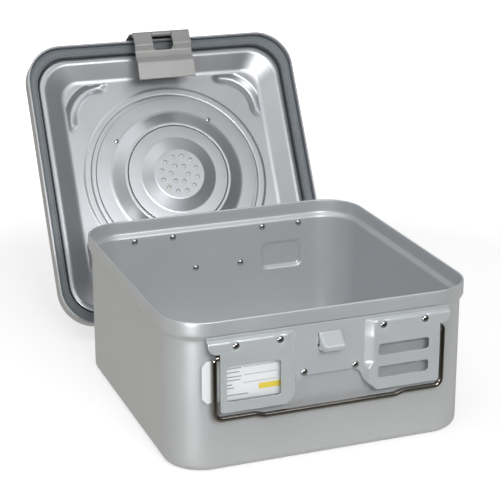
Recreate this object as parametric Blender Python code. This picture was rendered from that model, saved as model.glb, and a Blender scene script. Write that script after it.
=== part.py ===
"""Sterilization container: a drawn aluminium tub with its gasketed lid taken off.

The origin is the centre of the tub's underside. +Z is up and the front, with the
label holder on its left, faces -Y. The lid stands on its rear latch bracket
behind the tub, inside face forward. All lengths are in metres and all angles in
radians unless a name says degrees.
"""

import math

import bmesh
import bpy
from mathutils import Matrix, Vector

# Tub
RIM_WIDTH = 0.280
RIM_DEPTH = 0.285
TUB_HEIGHT = 0.1363
RIM_CORNER = 0.038
TUB_WALL = 0.0020
RIM_STEP = 0.0030
RIM_STEP_TOP_DROP = 0.0120
RIM_STEP_RUN = 0.0058
TUB_FOOT_RADIUS = 0.0070
RIM_EDGE_ROUND = 0.0006
CORNER_STEPS = 6
FOOT_STEPS = 4
OUTLINE_STEPS = 3

# Pad pressed outward in the wall behind each label
PAD_WIDTH = 0.0443
PAD_HEIGHT = 0.0288
PAD_CENTRE_X = 0.0680
PAD_CENTRE_DROP = 0.0524
PAD_RISE = 0.0025
PAD_FLANK = 0.0035
PAD_CORNER = 0.0060

# Clearances
SEAT_GAP = 0.0003
BORE_GAP = 0.00035
CUT_OVERRUN = 0.0020

# Fitting plate on each end wall
PLATE_SHEET = 0.0010
PLATE_TOP_DROP = 0.0130
PLATE_HALF_WIDTH = 0.1100
PLATE_BOTTOM_DROP = 0.0793
EAR_LENGTH = 0.0100
EAR_BOTTOM_DROP = 0.0268
EAR_ROUND = 0.0030
BOX_INNER_X = 0.0375
BOX_FLANK = 0.0040
BOX_FOLD_DROP = 0.0168
BOX_CREASE_DROP = 0.0303
BOX_LEAN = 0.0012
BOX_CORNER = 0.0040
NOTCH_TOP_DROP = 0.0588
NOTCH_HALF_WIDTH = 0.0220
NOTCH_FLARE = 0.0085
NOTCH_FLARE_DROP = 0.0703

# Window and slots in the raised boxes
WINDOW_WIDTH = 0.0480
WINDOW_HEIGHT = 0.0320
WINDOW_CENTRE_X = 0.0704
WINDOW_CENTRE_DROP = 0.0541
WINDOW_CORNER = 0.0035
SLOT_WIDTH = 0.0475
SLOT_HEIGHT = 0.0105
SLOT_CENTRE_X = 0.0661
SLOT_LOW_DROP = 0.0635
SLOT_PITCH = 0.0205
SLOT_CORNER = 0.0030

# Keeper hood in the middle of each plate
KEEPER_HALF_WIDTH = 0.0100
KEEPER_TOP_DROP = 0.0213
KEEPER_LIP_DROP = 0.0363
KEEPER_REACH = 0.0118
KEEPER_SIDE_GAP = 0.0015
KEEPER_LIP = 0.0028

# Rivets that hold a plate to the tub
RIVET_OUTER_X = 0.0860
RIVET_INNER_X = 0.0470
RIVET_UPPER_DROP = 0.0210
RIVET_MIDDLE_X = 0.0235
RIVET_LOWER_DROP = 0.0557
RIVET_SHANK = 0.0020
RIVET_HEAD = 0.0033
RIVET_HEAD_HEIGHT = 0.0013
RIVET_COLLAR = 0.0032
RIVET_DOME_SHARE = 0.8
RIVET_STEPS = 8

# Bail handle
WIRE_RADIUS = 0.0025
BAIL_HALF_WIDTH = 0.1040
BAIL_PIVOT_DROP = 0.0308
BAIL_DROP = 0.0551
BAIL_HOOK = 0.0200
BAIL_BEND = 0.0065
BAIL_HOOK_BEND = 0.0034
BAIL_KINK_X = 0.0600
BAIL_KINK_RUN = 0.0080
BAIL_KINK_DROP = 0.0022
BAIL_BEND_STEPS = 4
WIRE_MERGE = 0.000005

# Loops of bent strip that carry the ends of the bail behind the boxes
LOOP_WIDTH = 0.0100
LOOP_SHEET = 0.0010
LOOP_FOOT = 0.0024
LOOP_INSET = 0.0030
LOOP_STEPS = 8

# Label card
CARD_THICKNESS = 0.0005
CARD_HEIGHT = 0.0375
CARD_BOTTOM_DROP = 0.0713
CARD_OUTER_X = 0.1140
CARD_LENGTH = 0.0700
CARD_CHAMFER = 0.0040

# Lid shell, drawn closed side up, with the plane of its free edge at height zero
LID_WIDTH = 0.292
LID_DEPTH = 0.297
LID_CORNER = 0.0385
LID_SHEET = 0.0016
LID_RIDGE_HEIGHT = 0.0185
LID_RIDGE_WIDTH = 0.0140
LID_RIDGE_ROUND = 0.0025
LID_RIDGE_SHOULDER = 0.00375
LID_GROOVE_INSET = 0.0170
LID_GROOVE_HEIGHT = 0.0105
LID_PANEL_INSET = 0.0360
LID_PANEL_HEIGHT = 0.0200
LID_PANEL_CORNER = 0.0200
VENT_RADIUS = 0.0030
VENT_RINGS = ((0.0100, 6, 0.0), (0.0200, 12, 0.0))
VENT_STEPS = 6

# Lid gasket
GASKET_FACE = 0.0060
GASKET_LIP = 0.0012

# Filter stack in the middle of the lid
FILTER_THICKNESS = 0.0008
FILTER_STUD_CLEARANCE = 0.0016
RING_SHEET = 0.0010
RING_OUTER = 0.0867
RING_FOOT = 0.0695
RING_SHOULDER = 0.0575
RING_RISE = 0.0083
RING_COLLAR_RADIUS = 0.0545
RING_COLLAR_HEIGHT = 0.0045
RING_STUD_RADIUS = 0.0740
RING_STUD_COUNT = 4
RING_STUD_TURN_DEGREES = 37.0
STUD_SHANK = 0.0014
STUD_HEAD = 0.0026
STUD_HEAD_HEIGHT = 0.0012
CAP_SHEET = 0.0010
CAP_SKIRT_HEIGHT = 0.0060
CAP_EDGE_ROUND = 0.0010
CAP_SLOPE_OUTER = 0.0405
CAP_BOSS_RADIUS = 0.0270
CAP_BOSS_RISE = 0.0050
CAP_HOLE_RADIUS = 0.0017
CAP_HOLE_RINGS = ((0.0094, 6, 7.5), (0.0195, 12, 15.0))
CAP_HOLE_STEPS = 6
TURN_STEPS = 44

# Lid latches
LATCH_WIDTH = 0.0615
LATCH_SHEET = 0.0012
LATCH_KNUCKLE = 0.0040
LATCH_PIN_RADIUS = 0.0016
LATCH_PIN_DROP = 0.0125
LATCH_DISH_START = 0.0190
LATCH_DISH_END = 0.0250
LATCH_DISH_DEPTH = 0.0025
LATCH_RIDGE_START = 0.0310
LATCH_LENGTH = 0.0492
LATCH_TIP_DROP = 0.0025
LATCH_WINDOW_HALF_WIDTH = 0.0109
LATCH_WINDOW_END = 0.0190
LATCH_WINDOW_CORNER = 0.0040
LATCH_KNUCKLE_STEPS = 16
BRACKET_FLANGE = 0.0180
BRACKET_OUT = 0.00835
BRACKET_KNEE_DROP = 0.0010
BRACKET_RIVET_X = 0.0200
BRACKET_RIVET_SHANK = 0.0016
BRACKET_RIVET_HEAD = 0.0030

# Pose of the lid behind the tub
LID_TILT_DEGREES = 30.3
LID_YAW_DEGREES = -1.25
LID_CENTRE_X = 0.0
LID_CENTRE_Y = 0.2545

# Heights of what is set out from the tub's rim
PAD_CENTRE_Z = TUB_HEIGHT - PAD_CENTRE_DROP
PLATE_TOP_Z = TUB_HEIGHT - PLATE_TOP_DROP
PLATE_BOTTOM_Z = TUB_HEIGHT - PLATE_BOTTOM_DROP
EAR_BOTTOM_Z = TUB_HEIGHT - EAR_BOTTOM_DROP
BOX_FOLD_Z = TUB_HEIGHT - BOX_FOLD_DROP
BOX_CREASE_Z = TUB_HEIGHT - BOX_CREASE_DROP
NOTCH_TOP_Z = TUB_HEIGHT - NOTCH_TOP_DROP
NOTCH_FLARE_Z = TUB_HEIGHT - NOTCH_FLARE_DROP
WINDOW_CENTRE_Z = TUB_HEIGHT - WINDOW_CENTRE_DROP
SLOT_LOW_Z = TUB_HEIGHT - SLOT_LOW_DROP
KEEPER_TOP_Z = TUB_HEIGHT - KEEPER_TOP_DROP
KEEPER_LIP_Z = TUB_HEIGHT - KEEPER_LIP_DROP
RIVET_UPPER_Z = TUB_HEIGHT - RIVET_UPPER_DROP
RIVET_LOWER_Z = TUB_HEIGHT - RIVET_LOWER_DROP
BAIL_PIVOT_Z = TUB_HEIGHT - BAIL_PIVOT_DROP
CARD_BOTTOM_Z = TUB_HEIGHT - CARD_BOTTOM_DROP

# Edges that turn less than these are shaded smooth
SMOOTH_DEGREES = 35.0
PLATE_SMOOTH_DEGREES = 20.0
WIRE_SMOOTH_DEGREES = 60.0

# Colours, as linear red, green and blue
ALUMINIUM = (0.46, 0.47, 0.48, 1.0)
LID_ALUMINIUM = (0.47, 0.49, 0.50, 1.0)
PLATE_GREY = (0.42, 0.44, 0.46, 1.0)
POLISHED = (0.60, 0.59, 0.57, 1.0)
STAINLESS = (0.33, 0.32, 0.30, 1.0)
SILICONE = (0.15, 0.17, 0.18, 1.0)
CARD_WHITE = (0.82, 0.83, 0.84, 1.0)
FILTER_WHITE = (0.80, 0.80, 0.78, 1.0)

# Sizes worked out from the ones above
WALL_Y = RIM_DEPTH / 2 - RIM_STEP
PAD_FACE_Y = WALL_Y + PAD_RISE
CARD_BACK_Y = PAD_FACE_Y + SEAT_GAP
CARD_FRONT_Y = CARD_BACK_Y + CARD_THICKNESS
PIVOT_Y = CARD_FRONT_Y + SEAT_GAP + WIRE_RADIUS
PLATE_BACK_Y = RIM_DEPTH / 2 + SEAT_GAP
BOX_BACK_Y = PIVOT_Y + WIRE_RADIUS + SEAT_GAP
KNUCKLE_OUT = LATCH_SHEET + SEAT_GAP
LID_INNER_PANEL = LID_PANEL_HEIGHT - LID_SHEET
FILTER_RADIUS = RING_STUD_RADIUS - STUD_SHANK - FILTER_STUD_CLEARANCE
LID_TILT = math.radians(LID_TILT_DEGREES)
LID_CENTRE_Z = ((LID_DEPTH / 2 + BRACKET_OUT) * math.cos(LID_TILT)
                + (LID_RIDGE_HEIGHT + SEAT_GAP) * math.sin(LID_TILT))


def make_material(name, colour, roughness, metallic):
    """A Principled material with the piece's base colour."""
    material = bpy.data.materials.new(name)
    material.use_nodes = True
    shader = material.node_tree.nodes["Principled BSDF"]
    shader.inputs["Base Color"].default_value = colour
    shader.inputs["Roughness"].default_value = roughness
    shader.inputs["Metallic"].default_value = metallic
    material.diffuse_color = colour
    return material


def make_empty(name, parent=None, matrix=None):
    """An empty that carries pieces by its own place and turn."""
    empty = bpy.data.objects.new(name, None)
    bpy.context.collection.objects.link(empty)
    empty.parent = parent
    if matrix is not None:
        empty.matrix_local = matrix
    return empty


def finish_mesh(name, bm, smooth_degrees=SMOOTH_DEGREES):
    """Close a bmesh into mesh data with outward faces and smooth round stretches."""
    bmesh.ops.recalc_face_normals(bm, faces=bm.faces)
    mesh = bpy.data.meshes.new(name)
    bm.to_mesh(mesh)
    bm.free()
    mesh.shade_smooth()
    mesh.set_sharp_from_angle(angle=math.radians(smooth_degrees))
    return mesh


def add_object(name, mesh, material, parent=None, location=(0.0, 0.0, 0.0)):
    """Put mesh data in the scene as one named object with its own material slot."""
    piece = bpy.data.objects.new(name, mesh)
    bpy.context.collection.objects.link(piece)
    if material is not None and not mesh.materials:
        mesh.materials.append(material)
    piece.parent = parent
    piece.location = location
    return piece


def add_cutter(name, mesh, parent=None):
    """A hidden guide body for a Boolean."""
    cutter = add_object(name, mesh, None, parent)
    cutter.hide_render = True
    cutter.display_type = "WIRE"
    return cutter


def add_boolean(piece, guide, operation):
    """Join or cut a piece with a guide body."""
    modifier = piece.modifiers.new(guide.name, "BOOLEAN")
    modifier.operation = operation
    modifier.object = guide
    modifier.solver = "EXACT"
    return modifier


def rounded_ring(half_x, half_y, radius, height):
    """Points of a rounded rectangle at one height, anticlockwise seen from above."""
    points = []
    for quarter, (side_x, side_y) in enumerate(((1, 1), (-1, 1), (-1, -1), (1, -1))):
        centre = (side_x * (half_x - radius), side_y * (half_y - radius))
        for step in range(CORNER_STEPS + 1):
            angle = math.pi / 2 * (quarter + step / CORNER_STEPS)
            points.append(Vector((centre[0] + radius * math.cos(angle),
                                  centre[1] + radius * math.sin(angle), height)))
    return points


def circle_ring(radius, height, steps):
    """Points of a circle at one height, half a step round from the X axis."""
    turn = 2 * math.pi / steps
    return [Vector((radius * math.cos(turn * (step + 0.5)), radius * math.sin(turn * (step + 0.5)), height))
            for step in range(steps)]


def loft(bm, rings, closed=False):
    """Skin rings of equal count; the ends are capped, or joined when closed."""
    loops = [[bm.verts.new(point) for point in ring] for ring in rings]
    pairs = list(zip(loops, loops[1:]))
    if closed:
        pairs.append((loops[-1], loops[0]))
    for low, high in pairs:
        for index in range(len(low)):
            after = (index + 1) % len(low)
            bm.faces.new((low[index], low[after], high[after], high[index]))
    if not closed:
        bm.faces.new(loops[0])
        bm.faces.new(loops[-1])


def turned_mesh(name, profile, steps, closed=False):
    """A body turned about Z from radius and height pairs."""
    bm = bmesh.new()
    loft(bm, [circle_ring(radius, height, steps) for radius, height in profile], closed)
    return finish_mesh(name, bm)


def add_prism(bm, outline, start, end, frame=Matrix.Identity(4)):
    """Extrude a closed outline in the frame's XY plane between two Z levels."""
    loft(bm, [[frame @ Vector((x, y, level)) for x, y in outline] for level in (start, end)])


def add_block(bm, low, high):
    """A box between two opposite corners."""
    outline = ((low[0], low[1]), (high[0], low[1]), (high[0], high[1]), (low[0], high[1]))
    add_prism(bm, outline, low[2], high[2])


def arc_points(centre, radius, start_degrees, end_degrees, steps):
    """Points along an arc, both ends included."""
    sweep = math.radians(end_degrees - start_degrees) / steps
    start = math.radians(start_degrees)
    return [(centre[0] + radius * math.cos(start + sweep * step),
             centre[1] + radius * math.sin(start + sweep * step)) for step in range(steps + 1)]


def rounded_box_outline(centre, width, height, radius):
    """A rounded rectangle as a flat outline."""
    points = []
    for quarter, (side_x, side_y) in enumerate(((1, 1), (-1, 1), (-1, -1), (1, -1))):
        middle = (centre[0] + side_x * (width / 2 - radius), centre[1] + side_y * (height / 2 - radius))
        points += arc_points(middle, radius, 90 * quarter, 90 * (quarter + 1), OUTLINE_STEPS)
    return points


# Frames for outlines that are drawn across the object
FRONT_VIEW = Matrix(((1, 0, 0, 0), (0, 0, -1, 0), (0, 1, 0, 0), (0, 0, 0, 1)))
SIDE_VIEW = Matrix(((0, 0, 1, 0), (-1, 0, 0, 0), (0, 1, 0, 0), (0, 0, 0, 1)))


def tub_ring(inset, height):
    """One level of the tub, drawn in from the rim's outer size."""
    return rounded_ring(RIM_WIDTH / 2 - inset, RIM_DEPTH / 2 - inset, RIM_CORNER - inset, height)


def tub_profile():
    """Insets and heights of the tub's skin, up the outside and down the inside."""
    low = TUB_HEIGHT - RIM_STEP_TOP_DROP - RIM_STEP_RUN
    high = TUB_HEIGHT - RIM_STEP_TOP_DROP
    profile = []
    for step in range(FOOT_STEPS + 1):
        angle = math.pi / 2 * step / FOOT_STEPS
        profile.append((RIM_STEP + TUB_FOOT_RADIUS * (1 - math.sin(angle)),
                        TUB_FOOT_RADIUS * (1 - math.cos(angle))))
    profile += [(RIM_STEP, low), (0.0, high), (0.0, TUB_HEIGHT - RIM_EDGE_ROUND),
                (RIM_EDGE_ROUND, TUB_HEIGHT), (TUB_WALL - RIM_EDGE_ROUND, TUB_HEIGHT),
                (TUB_WALL, TUB_HEIGHT - RIM_EDGE_ROUND), (TUB_WALL, high), (TUB_WALL + RIM_STEP, low)]
    inner_radius = TUB_FOOT_RADIUS - TUB_WALL
    for step in range(FOOT_STEPS + 1):
        angle = math.pi / 2 * step / FOOT_STEPS
        profile.append((TUB_WALL + RIM_STEP + inner_radius * (1 - math.cos(angle)),
                        TUB_WALL + inner_radius * (1 - math.sin(angle))))
    return profile


def rivet_places():
    """Places of a plate's rivets across the wall, as X and Z."""
    places = []
    for side in (-1, 1):
        places += [(side * RIVET_OUTER_X, RIVET_UPPER_Z), (side * RIVET_INNER_X, RIVET_UPPER_Z),
                   (side * RIVET_MIDDLE_X, RIVET_LOWER_Z)]
    return places


def pad_mesh(name, grow, start_y, end_y):
    """A pad with slanted flanks on the wall behind a label, from one depth to another."""
    bm = bmesh.new()
    centre = (-PAD_CENTRE_X, PAD_CENTRE_Z)
    rings = []
    for level, spread in ((start_y, PAD_FLANK), (WALL_Y - grow, PAD_FLANK), (end_y, 0.0)):
        width = PAD_WIDTH - 2 * PAD_FLANK + 2 * spread - 2 * grow
        height = PAD_HEIGHT - 2 * PAD_FLANK + 2 * spread - 2 * grow
        outline = rounded_box_outline(centre, width, height, PAD_CORNER - grow)
        rings.append([FRONT_VIEW @ Vector((x, z, level)) for x, z in outline])
    loft(bm, rings)
    return finish_mesh(name, bm)


def hole_mesh(name, places, radius, start_y, end_y, steps):
    """Round bars across an end wall, to cut its rivet holes."""
    bm = bmesh.new()
    for x, z in places:
        outline = [(x + point.x, z + point.y) for point in circle_ring(radius, 0.0, steps)]
        add_prism(bm, outline, start_y, end_y, FRONT_VIEW)
    return finish_mesh(name, bm)


def build_tub(sides, metal):
    """The drawn tub, with its pressed pads and rivet holes."""
    bm = bmesh.new()
    loft(bm, [tub_ring(inset, height) for inset, height in tub_profile()])
    tub = add_object("tub", finish_mesh("tub", bm), metal)
    pad = pad_mesh("pad", 0.0, WALL_Y - TUB_WALL / 2, PAD_FACE_Y)
    pocket = pad_mesh("pocket", TUB_WALL / 2, WALL_Y - TUB_WALL - CUT_OVERRUN, PAD_FACE_Y - TUB_WALL)
    holes = hole_mesh("tub_holes", rivet_places(), RIVET_SHANK + SEAT_GAP,
                      WALL_Y - TUB_WALL - CUT_OVERRUN, WALL_Y + CUT_OVERRUN, RIVET_STEPS)
    for side_name, side in sides.items():
        add_boolean(tub, add_cutter(f"{side_name}_pad", pad, side), "UNION")
        add_boolean(tub, add_cutter(f"{side_name}_pocket", pocket, side), "DIFFERENCE")
        add_boolean(tub, add_cutter(f"{side_name}_tub_holes", holes, side), "DIFFERENCE")
    return tub


def plate_back(x, z):
    """How far out the back of the fitting plate lies at one place on the wall."""
    share = min(max((abs(x) - (BOX_INNER_X - BOX_FLANK)) / BOX_FLANK, 0.0), 1.0)
    if z > BOX_FOLD_Z:
        share = 0.0
    lean = BOX_LEAN * min(max((z - BOX_CREASE_Z) / (BOX_FOLD_Z - BOX_CREASE_Z), 0.0), 1.0)
    return PLATE_BACK_Y + share * (BOX_BACK_Y - PLATE_BACK_Y - lean)


def plate_columns():
    """Grid lines across the plate, each a pair of places at the top and the bottom."""
    flank = BOX_INNER_X - BOX_FLANK
    box_outer = PLATE_HALF_WIDTH - EAR_LENGTH
    half = (NOTCH_HALF_WIDTH, flank - NOTCH_FLARE / 2, flank, BOX_INNER_X, box_outer,
            PLATE_HALF_WIDTH - EAR_ROUND, PLATE_HALF_WIDTH)
    return [-x for x in reversed(half)] + list(half)


def build_plate_mesh():
    """The pressed fitting plate as a grid sheet that follows its boxes and folds."""
    columns = plate_columns()
    rows = [PLATE_BOTTOM_Z, NOTCH_FLARE_Z, NOTCH_TOP_Z, BOX_CREASE_Z, EAR_BOTTOM_Z,
            BOX_FOLD_Z - PLATE_SHEET, BOX_FOLD_Z, PLATE_TOP_Z - EAR_ROUND, PLATE_TOP_Z]
    box_outer = PLATE_HALF_WIDTH - EAR_LENGTH
    bm = bmesh.new()
    grid = {}
    for column, x in enumerate(columns):
        for row, z in enumerate(rows):
            place_x = x
            place_z = z
            if abs(x) == PLATE_HALF_WIDTH and z in (PLATE_TOP_Z, EAR_BOTTOM_Z):
                place_x = math.copysign(PLATE_HALF_WIDTH - EAR_ROUND / 2, x)
                place_z = z - math.copysign(EAR_ROUND / 4, z - BOX_FOLD_Z)
            if abs(x) == BOX_INNER_X and z == PLATE_BOTTOM_Z:
                place_z = z + BOX_CORNER / 4
            raised_z = BOX_FOLD_Z + PLATE_SHEET if z == BOX_FOLD_Z else z
            out = plate_back(min(abs(x), box_outer), raised_z)
            grid[column, row] = bm.verts.new((place_x, -out, place_z))
    for column in range(len(columns) - 1):
        middle_x = abs(columns[column] + columns[column + 1]) / 2
        for row in range(len(rows) - 1):
            middle_z = (rows[row] + rows[row + 1]) / 2
            in_ear = middle_x > box_outer
            in_notch = middle_x < BOX_INNER_X - BOX_FLANK
            on_slant = NOTCH_HALF_WIDTH < middle_x < BOX_INNER_X - BOX_FLANK - NOTCH_FLARE / 2
            if (in_ear and middle_z < EAR_BOTTOM_Z) or (in_notch and middle_z < NOTCH_FLARE_Z):
                continue
            if middle_x < NOTCH_HALF_WIDTH and middle_z < NOTCH_TOP_Z:
                continue
            corners = [(column, row), (column + 1, row), (column + 1, row + 1), (column, row + 1)]
            if on_slant and middle_z < NOTCH_TOP_Z:
                corners.pop(0 if columns[column] > 0 else 1)
            bm.faces.new([grid[corner] for corner in corners])
    loose = [vertex for vertex in bm.verts if not vertex.link_faces]
    bmesh.ops.delete(bm, geom=loose, context="VERTS")
    back = bm.faces[:]
    thick = bmesh.ops.extrude_face_region(bm, geom=back)
    for vertex in (item for item in thick["geom"] if isinstance(item, bmesh.types.BMVert)):
        vertex.co.y -= PLATE_SHEET
    return finish_mesh("fitting_plate", bm, PLATE_SMOOTH_DEGREES)


def keeper_outline():
    """Side view of the keeper hood, as distance out from the wall and height."""
    face = PLATE_BACK_Y + PLATE_SHEET
    tip = face + KEEPER_REACH
    return [(PLATE_BACK_Y + PLATE_SHEET / 2, KEEPER_TOP_Z + 2 * PLATE_SHEET),
            (face, KEEPER_TOP_Z + 2 * PLATE_SHEET),
            (tip, KEEPER_TOP_Z - KEEPER_REACH),
            (tip, KEEPER_LIP_Z + PLATE_SHEET),
            (tip - PLATE_SHEET, KEEPER_LIP_Z),
            (tip - KEEPER_LIP, KEEPER_LIP_Z),
            (tip - KEEPER_LIP, KEEPER_LIP_Z + PLATE_SHEET),
            (tip - PLATE_SHEET, KEEPER_LIP_Z + PLATE_SHEET + PLATE_SHEET / 2),
            (tip - PLATE_SHEET, KEEPER_TOP_Z - KEEPER_REACH - PLATE_SHEET / 2),
            (PLATE_BACK_Y + PLATE_SHEET / 2, KEEPER_TOP_Z - PLATE_SHEET / 4)]


def plate_cut_mesh():
    """Window, slots, rivet holes and the opening behind the keeper."""
    bm = bmesh.new()
    start = PLATE_BACK_Y - CUT_OVERRUN
    end = BOX_BACK_Y + PLATE_SHEET + CUT_OVERRUN
    window_centre = (-WINDOW_CENTRE_X, WINDOW_CENTRE_Z)
    window = rounded_box_outline(window_centre, WINDOW_WIDTH, WINDOW_HEIGHT, WINDOW_CORNER)
    add_prism(bm, window, start, end, FRONT_VIEW)
    for slot in range(2):
        centre = (SLOT_CENTRE_X, SLOT_LOW_Z + slot * SLOT_PITCH)
        outline = rounded_box_outline(centre, SLOT_WIDTH, SLOT_HEIGHT, SLOT_CORNER)
        add_prism(bm, outline, start, end, FRONT_VIEW)
    opening_half = KEEPER_HALF_WIDTH + KEEPER_SIDE_GAP
    add_block(bm, (-opening_half, -end, KEEPER_LIP_Z), (opening_half, -start, KEEPER_TOP_Z))
    for x, z in rivet_places():
        outline = [(x + point.x, z + point.y)
                   for point in circle_ring(RIVET_SHANK + SEAT_GAP, 0.0, RIVET_STEPS)]
        add_prism(bm, outline, start, end, FRONT_VIEW)
    return finish_mesh("plate_cuts", bm)


def build_keeper_mesh():
    """The keeper hood as a bent strip."""
    bm = bmesh.new()
    add_prism(bm, keeper_outline(), -KEEPER_HALF_WIDTH, KEEPER_HALF_WIDTH, SIDE_VIEW)
    return finish_mesh("keeper", bm)


def rivet_mesh(place_x, place_z):
    """A rivet with a domed head inside the tub and a flat one on the plate."""
    plate_face = plate_back(place_x, place_z) + PLATE_SHEET
    if abs(place_x) > BOX_INNER_X:
        plate_face += SEAT_GAP
    inner = WALL_Y - TUB_WALL - SEAT_GAP
    profile = [(RIVET_SHANK / 2, inner - RIVET_HEAD_HEIGHT),
               (RIVET_HEAD * RIVET_DOME_SHARE, inner - RIVET_HEAD_HEIGHT / 2), (RIVET_HEAD, inner),
               (RIVET_SHANK, inner), (RIVET_SHANK, WALL_Y + SEAT_GAP), (RIVET_COLLAR, WALL_Y + SEAT_GAP),
               (RIVET_COLLAR, plate_face - PLATE_SHEET - 2 * SEAT_GAP),
               (RIVET_SHANK, plate_face - PLATE_SHEET - 2 * SEAT_GAP),
               (RIVET_SHANK, plate_face + SEAT_GAP), (RIVET_HEAD, plate_face + SEAT_GAP),
               (RIVET_HEAD, plate_face + SEAT_GAP + RIVET_HEAD_HEIGHT / 2),
               (RIVET_SHANK, plate_face + SEAT_GAP + RIVET_HEAD_HEIGHT)]
    bm = bmesh.new()
    loft(bm, [circle_ring(radius, height, RIVET_STEPS) for radius, height in profile])
    bmesh.ops.transform(bm, matrix=FRONT_VIEW, verts=bm.verts)
    bmesh.ops.translate(bm, vec=(place_x, 0.0, place_z), verts=bm.verts)
    return finish_mesh("rivet", bm)


def bail_route():
    """Centre line of the bail, seen from the front with its pivot at height zero."""
    half = BAIL_HALF_WIDTH
    side = [(-half + BAIL_HOOK, 0.0)]
    side += arc_points((-half + BAIL_HOOK_BEND, -BAIL_HOOK_BEND), BAIL_HOOK_BEND, 90, 180, BAIL_BEND_STEPS)
    side += arc_points((-half + BAIL_BEND, -BAIL_DROP + BAIL_BEND), BAIL_BEND, 180, 270, BAIL_BEND_STEPS)
    side += [(-BAIL_KINK_X - BAIL_KINK_RUN, -BAIL_DROP), (-BAIL_KINK_X, -BAIL_DROP - BAIL_KINK_DROP)]
    return side + [(-x, z) for x, z in reversed(side)]


def build_bail_mesh():
    """A round wire along the bail's route, its mesh taken from a bevelled curve."""
    curve = bpy.data.curves.new("bail_route", "CURVE")
    curve.dimensions = "3D"
    curve.bevel_depth = WIRE_RADIUS
    curve.bevel_resolution = 2
    curve.use_fill_caps = True
    route = bail_route()
    spline = curve.splines.new("POLY")
    spline.points.add(len(route) - 1)
    for point, (x, z) in zip(spline.points, route):
        point.co = (x, 0.0, z, 1.0)
    guide = bpy.data.objects.new("bail_route", curve)
    mesh = bpy.data.meshes.new_from_object(guide)
    bpy.data.objects.remove(guide)
    bm = bmesh.new()
    bm.from_mesh(mesh)
    bpy.data.meshes.remove(mesh)
    bmesh.ops.remove_doubles(bm, verts=bm.verts, dist=WIRE_MERGE)
    return finish_mesh("bail", bm, WIRE_SMOOTH_DEGREES)


def loop_mesh(side):
    """A strip bent round one end of the bail, its two feet on the back of the plate."""
    inner_radius = WIRE_RADIUS + SEAT_GAP
    outer_radius = inner_radius + LOOP_SHEET
    outer_x = side * (BAIL_HALF_WIDTH - BAIL_HOOK_BEND - LOOP_INSET)
    inner_x = outer_x - side * LOOP_WIDTH
    reach = outer_radius + LOOP_FOOT
    front = plate_back(outer_x, BAIL_PIVOT_Z + reach) - SEAT_GAP
    outline = [(front, -reach), (front, -inner_radius)]
    outline += arc_points((PIVOT_Y, 0.0), inner_radius, 270, 90, LOOP_STEPS)
    outline += [(front, inner_radius), (front, reach), (front - LOOP_SHEET, reach),
                (front - LOOP_SHEET, outer_radius)]
    outline += arc_points((PIVOT_Y, 0.0), outer_radius, 90, 270, LOOP_STEPS)
    outline += [(front - LOOP_SHEET, -outer_radius), (front - LOOP_SHEET, -reach)]
    bm = bmesh.new()
    section = [(out, BAIL_PIVOT_Z + up) for out, up in outline]
    add_prism(bm, section, min(inner_x, outer_x), max(inner_x, outer_x), SIDE_VIEW)
    return finish_mesh("handle_loop", bm)


def card_mesh():
    """The label card, with its two outer corners cut off."""
    outer = -CARD_OUTER_X
    inner = outer + CARD_LENGTH
    top = CARD_BOTTOM_Z + CARD_HEIGHT
    outline = [(outer, CARD_BOTTOM_Z + CARD_CHAMFER), (outer + CARD_CHAMFER, CARD_BOTTOM_Z),
               (inner, CARD_BOTTOM_Z), (inner, top), (outer + CARD_CHAMFER, top),
               (outer, top - CARD_CHAMFER)]
    bm = bmesh.new()
    add_prism(bm, outline, CARD_BACK_Y, CARD_FRONT_Y, FRONT_VIEW)
    return finish_mesh("label_card", bm)


def build_side_fittings(sides, materials):
    """Plate, keeper, rivets, bail, loops and card on the front and the rear wall."""
    plate = build_plate_mesh()
    keeper = build_keeper_mesh()
    cuts = plate_cut_mesh()
    bail = build_bail_mesh()
    card = card_mesh()
    rivets = [rivet_mesh(x, z) for x, z in rivet_places()]
    loops = {"left": loop_mesh(-1), "right": loop_mesh(1)}
    pivot = (0.0, -PIVOT_Y, BAIL_PIVOT_Z)
    for side_name, side in sides.items():
        piece = add_object(f"{side_name}_fitting_plate", plate, materials["plate"], side)
        add_boolean(piece, add_cutter(f"{side_name}_plate_cuts", cuts, side), "DIFFERENCE")
        add_boolean(piece, add_cutter(f"{side_name}_keeper_hood", keeper, side), "UNION")
        for number, mesh in enumerate(rivets, 1):
            add_object(f"{side_name}_rivet_{number}", mesh, materials["rivet"], side)
        for hand, mesh in loops.items():
            add_object(f"{side_name}_handle_loop_{hand}", mesh, materials["plate"], side)
        add_object(f"{side_name}_handle", bail, materials["wire"], side, pivot)
        add_object(f"{side_name}_label_card", card, materials["card"], side)


def lid_ring(inset, height):
    """One level of the lid, its corners easing from the edge to the panel."""
    share = min(inset / LID_PANEL_INSET, 1.0)
    radius = LID_CORNER + share * (LID_PANEL_CORNER - LID_CORNER)
    return rounded_ring(LID_WIDTH / 2 - inset, LID_DEPTH / 2 - inset, radius, height)


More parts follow.
